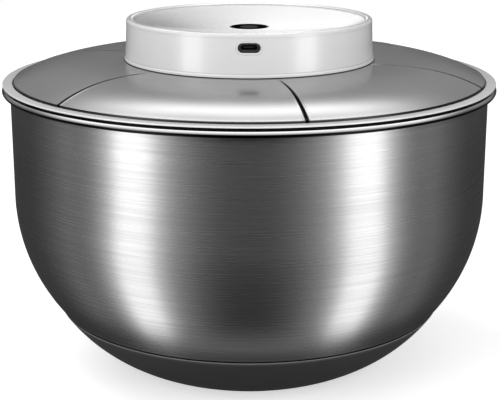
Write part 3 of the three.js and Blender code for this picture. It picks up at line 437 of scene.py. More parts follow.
def satin_steel(name, base, roughness):
    """Steel with an even satin finish, with painted shade in its creases, under the hub's foot and at its
    edge.
    """
    finish = Finish(name, metallic=1.0)
    grain = finish.noise(2600, detail=3)
    cloud = finish.noise(22, detail=3)
    tone = finish.spread(finish.average(grain, cloud, 0.5), 0, 1, 0.35, 0.65)
    satin = finish.tint(tone, grey(base * 0.95), grey(base * 1.04))
    finish.set("Base Color", finish.with_painted_shade(satin, 0.008))
    finish.set("Roughness", finish.spread(cloud, roughness - 0.01, roughness + 0.01))
    finish.relief(grain, 0.004, 0.03)
    return finish


def turned_steel(name, base, roughness):
    """Machined steel with fine tool marks."""
    finish = Finish(name, metallic=1.0)
    marks = finish.noise(1.0, vector=finish.scaled(300, 300, 9000))
    finish.set("Base Color", finish.tint(finish.spread(marks, 0, 1), grey(base * 0.85), grey(base * 1.1)))
    finish.set("Roughness", finish.spread(marks, roughness - 0.06, roughness + 0.08))
    finish.relief(marks, 0.01, 0.4)
    return finish


def grained(name, roughness, grain, depth):
    """Plastic with a fine grain of a size and depth in millimetres, still without its colour."""
    finish = Finish(name)
    fine = finish.noise(1000 / grain)
    finish.set("Roughness", finish.spread(fine, roughness - 0.03, roughness + 0.04))
    finish.relief(fine, depth, 0.5)
    return finish


def moulded(name, colour, roughness, grain, mottle, depth=0.004):
    """Moulded plastic: an even colour with faint clouding on a fine grain, and painted shade where marked.
    """
    finish = grained(name, roughness, grain, depth)
    cloud = finish.spread(finish.noise(35, detail=3), 0, 1)
    dark = tuple(channel * (1 - mottle) for channel in colour)
    light = tuple(min(1, channel * (1 + mottle)) for channel in colour)
    # Painted shade: a dark grey where the mesh is marked as shaded
    finish.set("Base Color", finish.with_painted_shade(finish.tint(cloud, dark, light), 0.02))
    return finish


def white_plastic():
    """Glossy white plastic."""
    finish = moulded("white plastic", grey(0.76, 0.002), 0.2, grain=2.5, mottle=0.012, depth=0.003)
    finish.set("Specular IOR Level", 0.7)
    finish.set("Coat Weight", 0.6)
    finish.set("Coat Roughness", 0.08)
    return finish


def button_plastic(radius):
    """Matt dark plastic of the button, with painted shade: near black round its edge, where it meets the
    gap.
    """
    finish = grained("button plastic", 0.6, grain=0.4, depth=0.004)
    away = finish.vector("LENGTH", finish.scaled(1, 1, 0))["Value"]
    # Painted shade: near black round the edge of the button
    edge = finish.spread(away, 0, 1, 0.42 * radius * MM, 0.52 * radius * MM)
    face = finish.tint(finish.spread(finish.noise(2500), 0, 1), grey(0.05), grey(0.06))
    finish.set("Base Color", finish.tint(edge, face, grey(0.003)))
    finish.set("Specular IOR Level", 0.0)
    return finish


def silicone():
    """Matt dark silicone, with a painted highlight along its lip."""
    finish = grained("foot silicone", 0.6, grain=0.35, depth=0.01)
    dark = finish.tint(finish.spread(finish.noise(1800), 0, 1), grey(0.02), grey(0.028))
    # Painted highlight: paler grey along the top of the lip
    finish.set("Base Color", finish.tint(finish.marked("painted_highlight"), dark, grey(0.17)))
    finish.set("Specular IOR Level", 0.3)
    finish.set("Sheen Weight", 0.05)
    finish.set("Sheen Roughness", 0.5)
    return finish


def board_finish():
    """Solder mask over faint copper tracks."""
    finish = Finish("circuit board")
    inputs = {"Vector": finish.place, "Scale": 260.0, "Mortar Size": 0.03}
    tracks = finish.add("TexBrick", inputs).outputs["Fac"]
    tone = finish.product(tracks, finish.spread(finish.noise(400), 0.3, 1))
    finish.set("Roughness", 0.35)
    finish.set("Base Color", finish.tint(tone, (0.012, 0.09, 0.04), (0.05, 0.2, 0.09)))
    finish.relief(tracks, 0.03, 0.5)
    return finish


def cell_finish():
    """Shrink wrap with faint wrinkles along the cell."""
    finish = Finish("cell wrap")
    wrinkles = finish.noise(1.0, detail=3, vector=finish.scaled(40, 500, 500))
    tone = finish.spread(wrinkles, 0, 1)
    finish.set("Base Color", finish.tint(tone, (0.03, 0.13, 0.24), (0.05, 0.19, 0.33)))
    finish.set("Roughness", finish.spread(wrinkles, 0.25, 0.4))
    finish.relief(wrinkles, 0.05, 0.5)
    return finish


looks = {
    "bowl_steel": brushed_steel("brushed bowl steel", 0.56, 0.28),
    "lid_skin": satin_steel("satin lid steel", 0.31, 0.26),
    "turned_steel": turned_steel("turned steel", 0.5, 0.28),
    "white_plastic": white_plastic(),
    "foot_silicone": silicone(),
    "seal_rubber": moulded("seal rubber", grey(0.03), 0.6, grain=0.5, mottle=0.1, depth=0.01),
    "basket_plastic": moulded("basket plastic", grey(0.7, 0.003), 0.32, grain=1.5, mottle=0.02),
    "grey_plastic": moulded("grey plastic", (0.5, 0.52, 0.54), 0.3, grain=1.5, mottle=0.03),
    "dark_plastic": moulded("dark plastic", grey(0.022), 0.42, grain=0.4, mottle=0.1, depth=0.006),
    "acetal": moulded("acetal", grey(0.82, 0.02), 0.38, grain=0.8, mottle=0.02),
    "gear_plastic": moulded("gear plastic", (0.8, 0.76, 0.62), 0.4, grain=0.8, mottle=0.03),
    "board": board_finish(),
    "cell_wrap": cell_finish(),
    "lead_sleeve": moulded("lead sleeve", (0.32, 0.015, 0.015), 0.42, grain=0.6, mottle=0.08),
}

finishes = {slot: look.material for slot, look in looks.items()}

for part in frame["record"]["subparts"]:
    cad_object = frame["nodes"][part["node"]]
    cad_object.material_slots[0].material = finishes[part["material_slot"]]


# --- bowl and foot

BEAD_RADIUS = 1.6
BEAD_REACH = 2.8
RIM_SPREAD = 1.5
RIM_LIFT = 0.2
BOWL_WALL = 0.9
BOWL_CORNER = 98
BOWL_CORNER_Z = 97
SEAT_GAP = 0.3

bead_outer, bowl_floor, rim_top = extent("bowl")
bowl_radius = bead_outer - BEAD_REACH
bead_centre = (bead_outer + RIM_SPREAD - BEAD_RADIUS, rim_top + RIM_LIFT - BEAD_RADIUS)
sleeve_top = extent("foot_sleeve")[2]
bowl_corner = (bowl_radius - BOWL_CORNER, BOWL_CORNER_Z)


def bowl_side(inset, steps):
    """Round corner of the bowl from its straight wall down to its floor, some way inside its outer face."""
    return side_arc(bowl_corner, BOWL_CORNER - inset, BOWL_CORNER_Z, bowl_floor + inset, steps)


def bowl_shade(azimuth, radius, height):
    """How much painted shade a point gets: under the bowl's bead, and in the seam over its sleeve."""
    seam = 1 - smooth(abs(height - sleeve_top - 0.2), 0.3, 1.1)
    if radius < bowl_radius - BOWL_WALL / 2:
        return seam
    below = bead_centre[1] - height
    return smooth(below, -0.6, -0.1) * (1 - smooth(below, 1.5, 2.1))


def bead_polish(azimuth, radius, height):
    """The rolled bead is smoother than the wall."""
    return 1 if radius > bowl_radius + 0.2 else 0


def bowl():
    level = bead_centre[1]
    outline = [
        (SCREW_HOLE, bowl_floor), (bowl_corner[0], bowl_floor),
        *bowl_side(0, 150)[::-1],
        (bowl_radius, level - 8),
        *((bowl_radius, level - 3.2 + 0.25 * i) for i in range(8)),
        (bowl_radius, level - 0.7), (bowl_radius + 0.3, level - 0.7), (bowl_radius + 0.3, level - 1.1),
        *arc(bead_centre, BEAD_RADIUS, -124, 8, 12),
        *arc(bead_centre, BEAD_RADIUS, 68, 150, 8),
        (bowl_radius - BOWL_WALL, level - 0.6),
        *bowl_side(BOWL_WALL, 72),
        (bowl_corner[0], bowl_floor + BOWL_WALL), (SCREW_HOLE, bowl_floor + BOWL_WALL),
    ]
    piece = make("bowl_shell", turned(outline), finishes["bowl_steel"])
    # Painted shade under the bead and in the seam over the sleeve
    mark(piece, "painted_shade", bowl_shade)
    mark(piece, "polish", bead_polish)
    stand_for(piece, "bowl", "bowl_steel", "bowl")


def foot_sleeve():
    sleeve_arc = (bowl_radius - 97.8, 84.6)
    sleeve_radius = 91
    edge = 0.6
    bore = 46
    _, bottom, top = extent("foot_sleeve")
    outer = side_arc(sleeve_arc, sleeve_radius, bottom + edge, top - edge, 24)
    inner = side_arc(bowl_corner, BOWL_CORNER + SEAT_GAP, top - edge, bowl_floor - SEAT_GAP, 24)
    piece = revolved("soft_foot_sleeve", "foot_silicone", [
        (bore, bottom, 0.5), (outer[0][0] - 2 * edge, bottom, 0.5),
        *outer,
        (outer[-1][0] + 0.35, top - 0.1, 0.2), (inner[0][0] + 0.45, top, 0.2),
        *inner,
        (bore, bowl_floor - SEAT_GAP, 0.3),
    ])
    # Painted highlight along the top of the sleeve's lip
    mark(piece, "painted_highlight", lambda azimuth, radius, height: smooth(height, top - 0.7, top - 0.4))
    stand_for(piece, "bowl", "foot_silicone", "foot_sleeve")


# --- lid skin and base

CREASE_AZIMUTHS = [radians(azimuth) for azimuth in (-136.4, -78, -19.6, 41, 102, 163)]
SKIN_SPREAD = 0.5
CREASE_OFFSETS = (0.07, 0.14, 0.21, 0.28, 0.35, 0.43, 0.52, 0.63, 0.77, 0.95, 1.2, 1.6, 2.2, 3.2)
CREASE_DEPTH = 1.2
CREASE_LIP = 0.12
DOME_FALL = 9.3
DOME_FLAT_RADIUS = 72
DOME_SKIN = 0.8
WELL_INSET = 8.65
HUB_SCREW_COUNT = 4
HUB_SCREW_INSET = 1.45
HUB_WALL = 2.4
BOSS_RADIUS = 3
COVER_POSTS = ((20, -17), (10, 23), (-30, 13), (2, -36))

skin_radius, dome_edge, dome_top = extent("lid_dome")
dome_radius = skin_radius + SKIN_SPREAD
hub_radius, hub_bottom, hub_wall_top = extent("motor_housing")
hub_screw_circle = hub_radius - HUB_WALL - HUB_SCREW_INSET


def crease_columns():
    """Azimuths of the lid's columns, close together at the creases."""
    columns = []
    widest = radians(CREASE_OFFSETS[-1])
    plain_steps = 27
    for crease, following in zip(CREASE_AZIMUTHS, CREASE_AZIMUTHS[1:] + CREASE_AZIMUTHS[:1]):
        columns.append(crease)
        for side in (1, -1):
            columns += [crease + side * radians(offset) for offset in CREASE_OFFSETS]
        plain = (following - crease) % tau - 2 * widest
        for step in range(1, plain_steps):
            columns.append(crease + widest + plain * step / plain_steps)
    return sorted(azimuth % tau for azimuth in columns)


def crease_share(azimuth, radius):
    """How deep a point lies in a crease, how high on the lip beside it, and how much painted shade it gets,
    each from 0 to 1.
    """
    away = min(abs((azimuth - crease + pi) % tau - pi) for crease in CREASE_AZIMUTHS)
    half_width = 0.56 + 0.32 * smooth(radius, 75, dome_radius)
    across = radius * away / half_width
    groove = 0.5 + 0.5 * cos(pi * min(1, across))
    lip = exp(-((across - 1.5) / 0.5) ** 2)
    strength = smooth(radius, 64, 92)
    shade = (1 - smooth(across, 1.0, 1.4)) * smooth(radius, 70, 78)
    return groove * strength, lip * strength, shade


def crease_shift(azimuth, radius, height):
    """Moves a point of the skin into its crease: down on the top, inwards at the edge."""
    groove, lip, _ = crease_share(azimuth, radius)
    depth = CREASE_LIP * lip - CREASE_DEPTH * groove
    lean = smooth(radius, dome_radius - 4, dome_radius) * pi / 2
    return depth * sin(lean), depth * cos(lean)


def dome_height(radius):
    """Height of the top of the skin."""
    share = max(0, (radius - DOME_FLAT_RADIUS) / (dome_radius - DOME_FLAT_RADIUS))
    return dome_top - DOME_FALL * share ** 3


def skin_shade(azimuth, radius, height):
    """Painted shade of a point of the skin: in a crease, under the hub's foot, and in the groove at its
    edge.
    """
    crease = crease_share(azimuth, radius)[2]
    under_foot = 1 - smooth(radius, hub_radius + 0.25, hub_radius + 0.7)
    at_edge = 0.8 if radius > dome_radius - 0.2 else 0
    return max(crease, under_foot, at_edge)


def at_hub_screws(radius, bottom, top):
    """Rods along the screws that hold the hub."""
    return repeated(lambda: rod(radius, bottom, top, hub_screw_circle), HUB_SCREW_COUNT, pi / 4)


def lid_dome():
    edge_round = 1.2
    shoulder = dome_radius - edge_round
    shoulder_height = dome_height(shoulder)
    bore = hub_radius - WELL_INSET + 1.4
    piece = revolved("lid_skin_dome", "lid_skin", [
        (bore, dome_top - DOME_SKIN), (bore, dome_top, 0.2),
        *follow(dome_height, 0, bore + 2, hub_radius - 0.8, 2),
        *follow(dome_height, 0, hub_radius - 0.4, hub_radius + 1.2, 4),
        *follow(dome_height, 0, hub_radius + 2.4, shoulder, 38),
        (dome_radius - 0.25, shoulder_height - 0.35, 0.4),
        (dome_radius, shoulder_height - edge_round, 0.4), (dome_radius, dome_edge, 0.15),
        (dome_radius - DOME_SKIN, dome_edge, 0.15),
        (dome_radius - DOME_SKIN, shoulder_height - edge_round - 0.3, 0.4),
        *follow(dome_height, DOME_SKIN, bore + 2, shoulder - DOME_SKIN, 20)[::-1],
    ], shift=crease_shift)
    # Painted shade in the creases, under the hub's foot and in the groove at the edge
    mark(piece, "painted_shade", skin_shade)
    stand_for(piece, "lid", "lid_skin", "lid_dome")


def lid_base():
    ring_outer = bead_outer + RIM_SPREAD - 0.4
    flange_bottom = rim_top + 0.5
    ring_inner = bowl_radius - 1.4
    ring_bottom = flange_bottom + 1.3
    ring_top = ring_bottom + 0.7
    groove_floor = flange_bottom + 0.8
    lip = skin_radius - DOME_SKIN - SEAT_GAP
    skirt_inner = lip - 2.4
    skirt_bottom = 147
    collar = bowl_radius - BOWL_WALL - 0.5
    roof_depth = DOME_SKIN + SEAT_GAP
    roof = 2.2
    well_radius = hub_radius - WELL_INSET
    well_floor = 157.2
    well_bottom = 155.0
    bearing_bore = 8.3
    bearing_outer = 11
    pocket_bottom = extent("shaft_seal")[1] - 0.15
    gasket_room = extent("lid_gasket")[2] + SEAT_GAP
    shaft_bore = 4.5

    def shift(azimuth, radius, height):
        on_roof = well_radius < radius <= lip and height > dome_height(radius) - roof_depth - roof / 2
        return crease_shift(azimuth, radius, height) if on_roof else (0, 0)

    def gap_shade(azimuth, radius, height):
        """Painted shade of a point: in the gap between the ring and the bead, in the dome's groove, and
        faintly on the ring's top.
        """
        under_ring = collar - 0.1 < radius < ring_outer - 0.2 and height < ring_bottom + 0.05
        in_groove = lip - 0.1 < radius < ring_inner + 0.1 and height < ring_top - 0.1
        if under_ring or in_groove:
            return 1
        on_flat = ring_inner + 0.9 < radius < ring_outer - 1.0 and height > ring_top
        return 0.06 if on_flat else 0

    piece = revolved("lid_base_ring", "white_plastic", [
        (shaft_bore, well_bottom, 0.2), (bearing_bore, well_bottom),
        (bearing_bore, pocket_bottom, 0.2), (bearing_outer, pocket_bottom, 0.5),
        (bearing_outer, well_bottom, 0.8), (well_radius + 2.2, well_bottom, 0.8),
        (well_radius + 2.2, dome_top - roof_depth - roof, 0.8),
        *follow(dome_height, roof_depth + roof, DOME_FLAT_RADIUS, skirt_inner, 12),
        (skirt_inner, skirt_bottom, 0.6), (collar - 0.5, skirt_bottom, 0.4),
        (collar - 0.5, skirt_bottom + 1.5, 0.2), (lip, skirt_bottom + 1.5), (lip, gasket_room),
        (collar, gasket_room, 0.2), (collar, flange_bottom, 0.2),
        (ring_inner + 1.2, flange_bottom, 0.2), (ring_inner + 1.4, ring_bottom, 0.2),
        (ring_outer, ring_bottom, 0.15), (ring_outer, ring_top, 0.35),
        (ring_outer - 0.7, ring_top + 0.05), (ring_outer - 1.1, ring_top + 0.05),
        (ring_inner + 1.0, ring_top + 0.15), (ring_inner + 0.6, ring_top + 0.15),
        (ring_inner, ring_top + 0.15, 0.3), (ring_inner, groove_floor, 0.2), (lip, groove_floor, 0.2),
        *follow(dome_height, roof_depth, DOME_FLAT_RADIUS, lip, 24)[::-1],
        (well_radius, dome_top - roof_depth, 0.3), (well_radius, well_floor, 0.6),
        (shaft_bore, well_floor, 0.2),
    ], shift=shift)
    post_top = extent("gearbox_cover")[1] - SEAT_GAP
    boolean(piece, "UNION", [rod(BOSS_RADIUS, well_floor - 1, post_top, x, y) for x, y in COVER_POSTS])
    holes = [rod(SCREW_HOLE, well_floor + 1, post_top + 1, x, y) for x, y in COVER_POSTS]
    pin_low, pin_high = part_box("idler_pin")
    pin_x, pin_y = ((pin_low + pin_high) / 2 / MM)[:2]
    pin_bore = (pin_high.x - pin_low.x) / 2 / MM + SEAT_GAP
    holes.append(rod(pin_bore, well_bottom + 1, well_floor + 1, pin_x, pin_y))
    holes += at_hub_screws(SCREW_HOLE, dome_top - roof_depth - roof - 1, dome_top - roof_depth + 1)
    boolean(piece, "DIFFERENCE", holes)
    # Painted shade in the gap under the ring, in the dome's groove and faintly on the ring's top
    mark(piece, "painted_shade", gap_shade)
    stand_for(piece, "lid", "white_plastic", "lid_base")


def lid_gasket():
    outer, bottom, top = extent("lid_gasket")
    inner = skin_radius - DOME_SKIN
    neck = outer - 0.5
    piece = revolved("soft_lid_gasket", "seal_rubber", [
        (inner, bottom, 0.3), (neck, bottom, 0.2), (outer, bottom + 0.25 * (top - bottom), 0.2),
        (neck, bottom + 0.5 * (top - bottom), 0.3), (outer, bottom + 0.75 * (top - bottom), 0.2),
        (neck, top, 0.2), (inner, top, 0.3),
    ])
    stand_for(piece, "lid", "seal_rubber", "lid_gasket")


# --- hub

HUB_DRAFT = 1.35
HUB_FOOT_STEP = 0.5
PORT_DROP = 4.6
PORT_SIZE = (11.5, 5)
PORT_WALL = 1
PORT_STEPS = 16
CAP_SKIN = 2.2
CAP_LIP_INSET = 4.05
DISH_FLOOR_Z = 186.4
DISH_RISE = 4.4

cap_crest = extent("housing_cap")[2]
hub_top_radius = hub_radius - HUB_DRAFT
lip_radius = hub_top_radius - CAP_LIP_INSET
port_height = hub_wall_top - PORT_DROP


def front(across, up, depth):
    """Point on the front of the hub: across to the right, up from the port, depth from the axis."""
    return (across, -depth, port_height + up)


def motor_housing():
    foot = hub_radius - HUB_FOOT_STEP
    piece = revolved("hub_wall", "white_plastic", [
        (hub_radius - HUB_WALL, hub_bottom, 0.3), (hub_radius, hub_bottom, 0.12),
        (hub_radius, hub_bottom + 1.2, 0.5), (foot + 0.1, hub_bottom + 1.5, 0.1),
        (foot - 0.05, hub_bottom + 1.8, 0.1), (foot - 0.1, hub_bottom + 2.2, 0.1),
        (hub_top_radius, hub_wall_top + 0.25, 0.05),
        (hub_top_radius - HUB_WALL, hub_wall_top + 0.25, 0.3),
    ])
    bosses = at_hub_screws(BOSS_RADIUS, hub_bottom + 0.05, hub_bottom + 8)
    shelf_top = extent("charge_board")[1] - SEAT_GAP
    board_low, board_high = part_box("charge_board")
    half = board_high.x / MM + 1
    shelf = block((-half, board_low.y / MM - 1.5, shelf_top - 2.2), (half, board_high.y / MM, shelf_top))
    boolean(piece, "UNION", [*bosses, shelf])
    width, height = (size + 2 * PORT_WALL + 0.06 for size in PORT_SIZE)
    opening = prism(stadium(width, height, PORT_STEPS), hub_radius + 2, hub_radius - 8, front)
    holes = at_hub_screws(SCREW_HOLE, hub_bottom - 1, hub_bottom + 7)
    boolean(piece, "DIFFERENCE", [*holes, opening])

    # Painted shade in the joint above the foot
    def foot_shade(azimuth, radius, height):
        above_foot = hub_bottom + 1.45 < height < hub_bottom + 1.9 and radius > foot - 0.5
        return 0.3 if above_foot else 0

    mark(piece, "painted_shade", foot_shade)
    stand_for(piece, "lid", "white_plastic", "motor_housing")


def dish_height(radius):
    """Height of the dished top of the cap."""
    return DISH_FLOOR_Z + DISH_RISE * (radius / lip_radius) ** 2


def housing_cap():
    guide_bore = extent("power_button")[0] - 0.9
    lip_height = dish_height(lip_radius)
    cap_bottom = hub_wall_top + SEAT_GAP
    guide_bottom = extent("housing_cap")[1]
    plug_outer = hub_top_radius - HUB_WALL - 0.35
    plug_inner = plug_outer - CAP_SKIN
    piece = revolved("hub_cap", "white_plastic", [
        (guide_bore, dish_height(guide_bore), 0.35),
        *follow(dish_height, 0, guide_bore + 0.8, lip_radius, 24),
        (lip_radius + 0.15, lip_height - 0.3, 0.05), (lip_radius + 0.5, lip_height - 0.3, 0.05),
        (lip_radius + 0.6, cap_crest - 0.45, 0.2), (lip_radius + 1.6, cap_crest, 0.6),
        (hub_top_radius - 0.75, cap_crest - 0.12, 0.5), (hub_top_radius - 0.15, cap_crest - 0.7, 0.2),
        (hub_top_radius - 0.3, cap_crest - 0.9, 0.05),
        (hub_top_radius - 0.05, cap_crest - 1.1, 0.1), (hub_top_radius, cap_crest - 1.5, 0.6),
        (hub_top_radius, cap_bottom, 0.05), (plug_outer, cap_bottom, 0.2),
        (plug_outer, cap_bottom - 2.6, 0.3), (plug_inner, cap_bottom - 2.6, 0.3),
        *follow(dish_height, CAP_SKIN, plug_inner, guide_bore + 1.8, 24),
        (guide_bore + 1.8, guide_bottom, 0.3), (guide_bore, guide_bottom, 0.3),
    ])

    # Painted shade in the groove between the dish's lip and the crest
    def groove_shade(azimuth, radius, height):
        inside = lip_radius < radius < lip_radius + 0.58 and height > lip_height - 0.5
        return 0.35 if inside else 0

    mark(piece, "painted_shade", groove_shade)
    stand_for(piece, "lid", "white_plastic", "housing_cap")


def power_button():
    flange, bottom, top = extent("power_button")
    radius = flange - 1.3
    outline = rounded([
        (0, bottom), (flange, bottom, 0.3), (flange, bottom + 1.4, 0.3), (radius, bottom + 1.4),
        (radius, top, 0.7), (radius * 0.55, top - 0.15, 1.0), (radius * 0.5, top - 0.35, 1.0),
        (0, top - 0.45),
    ], closed=False)
    piece = make("round_power_button", turned(outline), button_plastic(radius).material)
    stand_for(piece, "button", "dark_plastic", "power_button")


def button_spring():
    """Coil that the button squeezes: three turns of round wire with closed ends."""
    wire = 0.4
    turns = 3
    steps = 40
    sides = 10
    outer, bottom, top = extent("button_spring")
    span = top - bottom - 2 * wire
    mesh = bmesh.new()
    rings = []
    for i in range(turns * steps + 1):
        angle = tau * i / steps
        height = bottom + wire + span * smooth(i, 0, turns * steps)
        ring = []
        for j in range(sides):
            across, up = polar(wire, tau * j / sides)
            ring.append(mesh.verts.new(polar(outer - wire + across, angle, height + up)))
        rings.append(ring)
    skin(mesh, rings)
    mesh.faces.new(rings[0])
    mesh.faces.new(rings[-1])
    piece = make("coiled_button_spring", mesh, finishes["turned_steel"])
    stand_for(piece, "lid", "turned_steel", "button_spring", sharp=60)
    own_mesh(piece)


def port_ring(name, slot, outer, inner, near, far, edge, *nodes):
    """Ring with round ends and bevelled front edges: outer and inner are (width, height)."""
    mesh = bmesh.new()
    # Size, how far its edge is drawn in, and depth from the axis
    section = [
        (outer, 0, near - edge), (outer, edge, near), (inner, -edge, near), (inner, 0, near - edge),
        (inner, 0, far), (outer, 0, far),
    ]
    loops = []
    for size, drawn_in, depth in section:
        points = stadium(size[0] - 2 * drawn_in, size[1] - 2 * drawn_in, PORT_STEPS)
        loops.append([mesh.verts.new(front(across, up, depth)) for across, up in points])
    skin(mesh, loops + loops[:1])
    stand_for(make(name, mesh, finishes[slot]), "lid", slot, *nodes)


def port():
    drawn_in = HUB_DRAFT * (port_height - hub_bottom) / (hub_wall_top - hub_bottom)
    near = hub_radius - drawn_in - 0.32
    frame_outer = [size + 2 * PORT_WALL for size in PORT_SIZE]
    liner_outer = [size - 0.1 for size in PORT_SIZE]
    liner_inner = (9.3, 3.6)
    port_ring("port_frame", "white_plastic", frame_outer, PORT_SIZE, near, near - 2.3, 0.25, "port_bezel")
    port_ring("port_liner", "dark_plastic", liner_outer, liner_inner, near - 0.7, near - 4, 0.1)


# --- basket, its bearing and the drive plate

BASKET_WALL = 2
BASKET_CORNER = 62
BASKET_STRAIGHT_Z = 80
BASKET_STRAIGHT_INSET = 14.3
BASKET_TOP_INSET = 11.3
BASKET_RIM_HEIGHT = 3
SLOT_COUNT = 16
SLOT_AZIMUTH = radians(5.625)
SLOT_ROUND = 0.3
WALL_SLOT = (9, 48)
WALL_SLOT_Z = 108
FLOOR_SLOT = (28, 4)
FLOOR_SLOT_RADIUS = 36
LUG_COUNT = 6
LUG_WIDTH = 10
LUG_DEPTH = 2.6
RUN_GAP = 0.4

rim_radius, boss_bottom, basket_rim = extent("basket")
basket_floor = BASKET_STRAIGHT_Z - BASKET_CORNER


def basket():
    straight = bowl_radius - BASKET_STRAIGHT_INSET
    corner = (straight - BASKET_CORNER, BASKET_STRAIGHT_Z)
    inner_top = bowl_radius - BASKET_TOP_INSET - BASKET_WALL
    bush_radius, _, bush_top = extent("pivot_bush")
    boss_bore = bush_radius - 2.7
    boss_radius = boss_bore + 2.5
    roof = bush_top + SEAT_GAP
    piece = revolved("slotted_basket", "basket_plastic", [
        (0, roof), (boss_bore, roof, 0.5), (boss_bore, boss_bottom, 0.4),
        (boss_radius, boss_bottom, 0.6), (boss_radius, basket_floor, 1.2),
        *arc(corner, BASKET_CORNER, -90, 0, 40),
        (bowl_radius - BASKET_TOP_INSET, basket_rim - BASKET_RIM_HEIGHT, 0.8),
        (rim_radius, basket_rim - BASKET_RIM_HEIGHT, 0.7), (rim_radius, basket_rim, 0.9),
        (inner_top, basket_rim, 1.0),
        *arc(corner, BASKET_CORNER - BASKET_WALL, 0, -90, 40),
        (boss_radius, basket_floor + BASKET_WALL, 1.5), (boss_radius, roof + BASKET_WALL, 1.5),
        (0, roof + BASKET_WALL),
    ], closed=False)

    def wall_slot():
        slot = [(across, WALL_SLOT_Z + up) for across, up in stadium(*WALL_SLOT)]
        return prism(slot, rim_radius, 85, lambda across, up, depth: (depth, across, up))

    def floor_slot():
        slot = [(FLOOR_SLOT_RADIUS + across, up) for across, up in stadium(*FLOOR_SLOT)]
        return prism(slot, basket_floor + 2 * BASKET_WALL, basket_floor - BASKET_WALL)

    def notch():
        half = LUG_WIDTH / 2 + 2 * RUN_GAP
        inner = rim_radius - LUG_DEPTH - 3 * RUN_GAP
        bottom = basket_rim - LUG_DEPTH - RUN_GAP
        return block((inner, -half, bottom), (rim_radius + BASKET_WALL, half, basket_rim + BASKET_WALL))

    for cut, count in ((wall_slot, SLOT_COUNT), (floor_slot, SLOT_COUNT), (notch, LUG_COUNT)):
        boolean(piece, "DIFFERENCE", repeated(cut, count, SLOT_AZIMUTH))
    stand_for(piece, "basket", "basket_plastic", "basket", bevel=SLOT_ROUND)


def drive_plate():
    _, hub_low, hub_high = extent("drive_plate")
    ring_bottom = basket_rim + SEAT_GAP
    ring_top = ring_bottom + 2
    ring_inner = rim_radius - 14
    web = ring_top - 4
    bore = 4.3
    hub = 11
    piece = revolved("lugged_drive_plate", "grey_plastic", [
        (bore, hub_low, 0.3), (hub, hub_low, 0.6), (hub, web - 2, 0.8), (hub + 4, web - 2, 1.0),
        (ring_inner, ring_bottom, 3), (rim_radius, ring_bottom, 0.5), (rim_radius, ring_top, 0.7),
        (ring_inner, ring_top, 3), (hub + 4, web, 1.5), (hub, web, 0.8), (hub - 1, hub_high, 0.5),
        (bore, hub_high, 0.3),
    ])

    def lug():
        outer = rim_radius - RUN_GAP
        bottom = basket_rim - LUG_DEPTH
        return block((outer - LUG_DEPTH, -LUG_WIDTH / 2, bottom), (outer, LUG_WIDTH / 2, ring_bottom + 1))

    boolean(piece, "UNION", repeated(lug, LUG_COUNT, SLOT_AZIMUTH))
    stand_for(piece, "drive", "grey_plastic", "drive_plate", bevel=SLOT_ROUND)


def pivot():
    flange, bottom, tip = extent("pivot_post")
    radius = 4.5
    piece = revolved("turned_pivot_post", "turned_steel", [
        (0, tip / 2), (SCREW_HOLE, tip / 2), (SCREW_HOLE, bottom, 0.3), (flange, bottom, 0.3),
        (flange, bottom + 2, 0.6), (radius, bottom + 2, 0.8), (radius, tip - 2.25, 1.5),
        (radius / 2, tip, 1.5), (0, tip),
    ], closed=False)
    stand_for(piece, "bowl", "turned_steel", "pivot_post")
    collar, bottom, top = extent("pivot_bush")
    bore = radius + RUN_GAP
    outer = collar - 3.1
    collar_top = boss_bottom - SEAT_GAP
    piece = revolved("turned_pivot_bush", "acetal", [
        (0, top - 2), (bore, top - 2), (bore, bottom, 0.4), (outer, bottom, 0.6),
        (outer, collar_top - 2, 0.5), (collar, collar_top - 2, 0.4), (collar, collar_top, 0.4),
        (outer, collar_top, 0.3), (outer, top, 0.8), (0, top),
    ], closed=False)
    stand_for(piece, "basket_bearing", "acetal", "pivot_bush")


for build in (bowl, foot_sleeve, lid_dome, lid_base, lid_gasket, motor_housing, housing_cap, power_button,
              button_spring, port, basket, drive_plate, pivot):
    build()


# --- stage, light and camera

WHITE = (1, 1, 1, 1)
FLOOR_GLOW = 0.55
FLOOR_RADIUS = 1400


class Stage(Nodes):
    """Node tree of the world or of a stage material, still without its shader."""

    def __init__(self, owner, output):
        super().__init__(owner)
        self.tree.nodes.clear()
        self.surface = self.add(output).inputs["Surface"]

    def seen(self, *kinds):
        """1 for rays of some kinds and 0 for the others."""
        rays = self.add("LightPath").outputs
        share = rays["Is Camera Ray"]
        for kind in kinds:
            share = self.math("MAXIMUM", share, rays[kind])
        return share

    def mix(self, share, first, second):
        """The first value where the share is 0, the second where it is 1."""
        return self.math("MULTIPLY_ADD", share, self.math("SUBTRACT", second, first), first)

    def levels(self, share, stops):
        """The level between stops (degrees, level), at a share of the last stop's degrees."""
        node = self.add("ValToRGB", (share,))
        elements = node.color_ramp.elements
        elements[1].position = 1
        for where, level in stops[1:-1]:
            elements.new(where / stops[-1][0])
        for element, (where, level) in zip(elements, stops):
            element.color = (*grey(level / COVE_PEAK), 1)
        return self.product(node.outputs["Color"], COVE_PEAK)

    def show(self, shader):
        self.tree.links.new(shader.outputs[0], self.surface)


def floor():
    """Pale floor that keeps the object's shadow."""
    mesh = bmesh.new()
    bmesh.ops.create_circle(mesh, cap_ends=True, segments=96, radius=FLOOR_RADIUS)
    material = bpy.data.materials.new("pale floor")
    stage = Stage(material, "OutputMaterial")
    glow = stage.add("Emission", (WHITE, stage.product(stage.seen("Is Glossy Ray"), FLOOR_GLOW)))
    diffuse = stage.add("BsdfDiffuse", ((0.8, 0.8, 0.8, 1),))
    stage.show(stage.add("AddShader", (diffuse.outputs[0], glow.outputs[0])))
    make("floor", mesh, material)


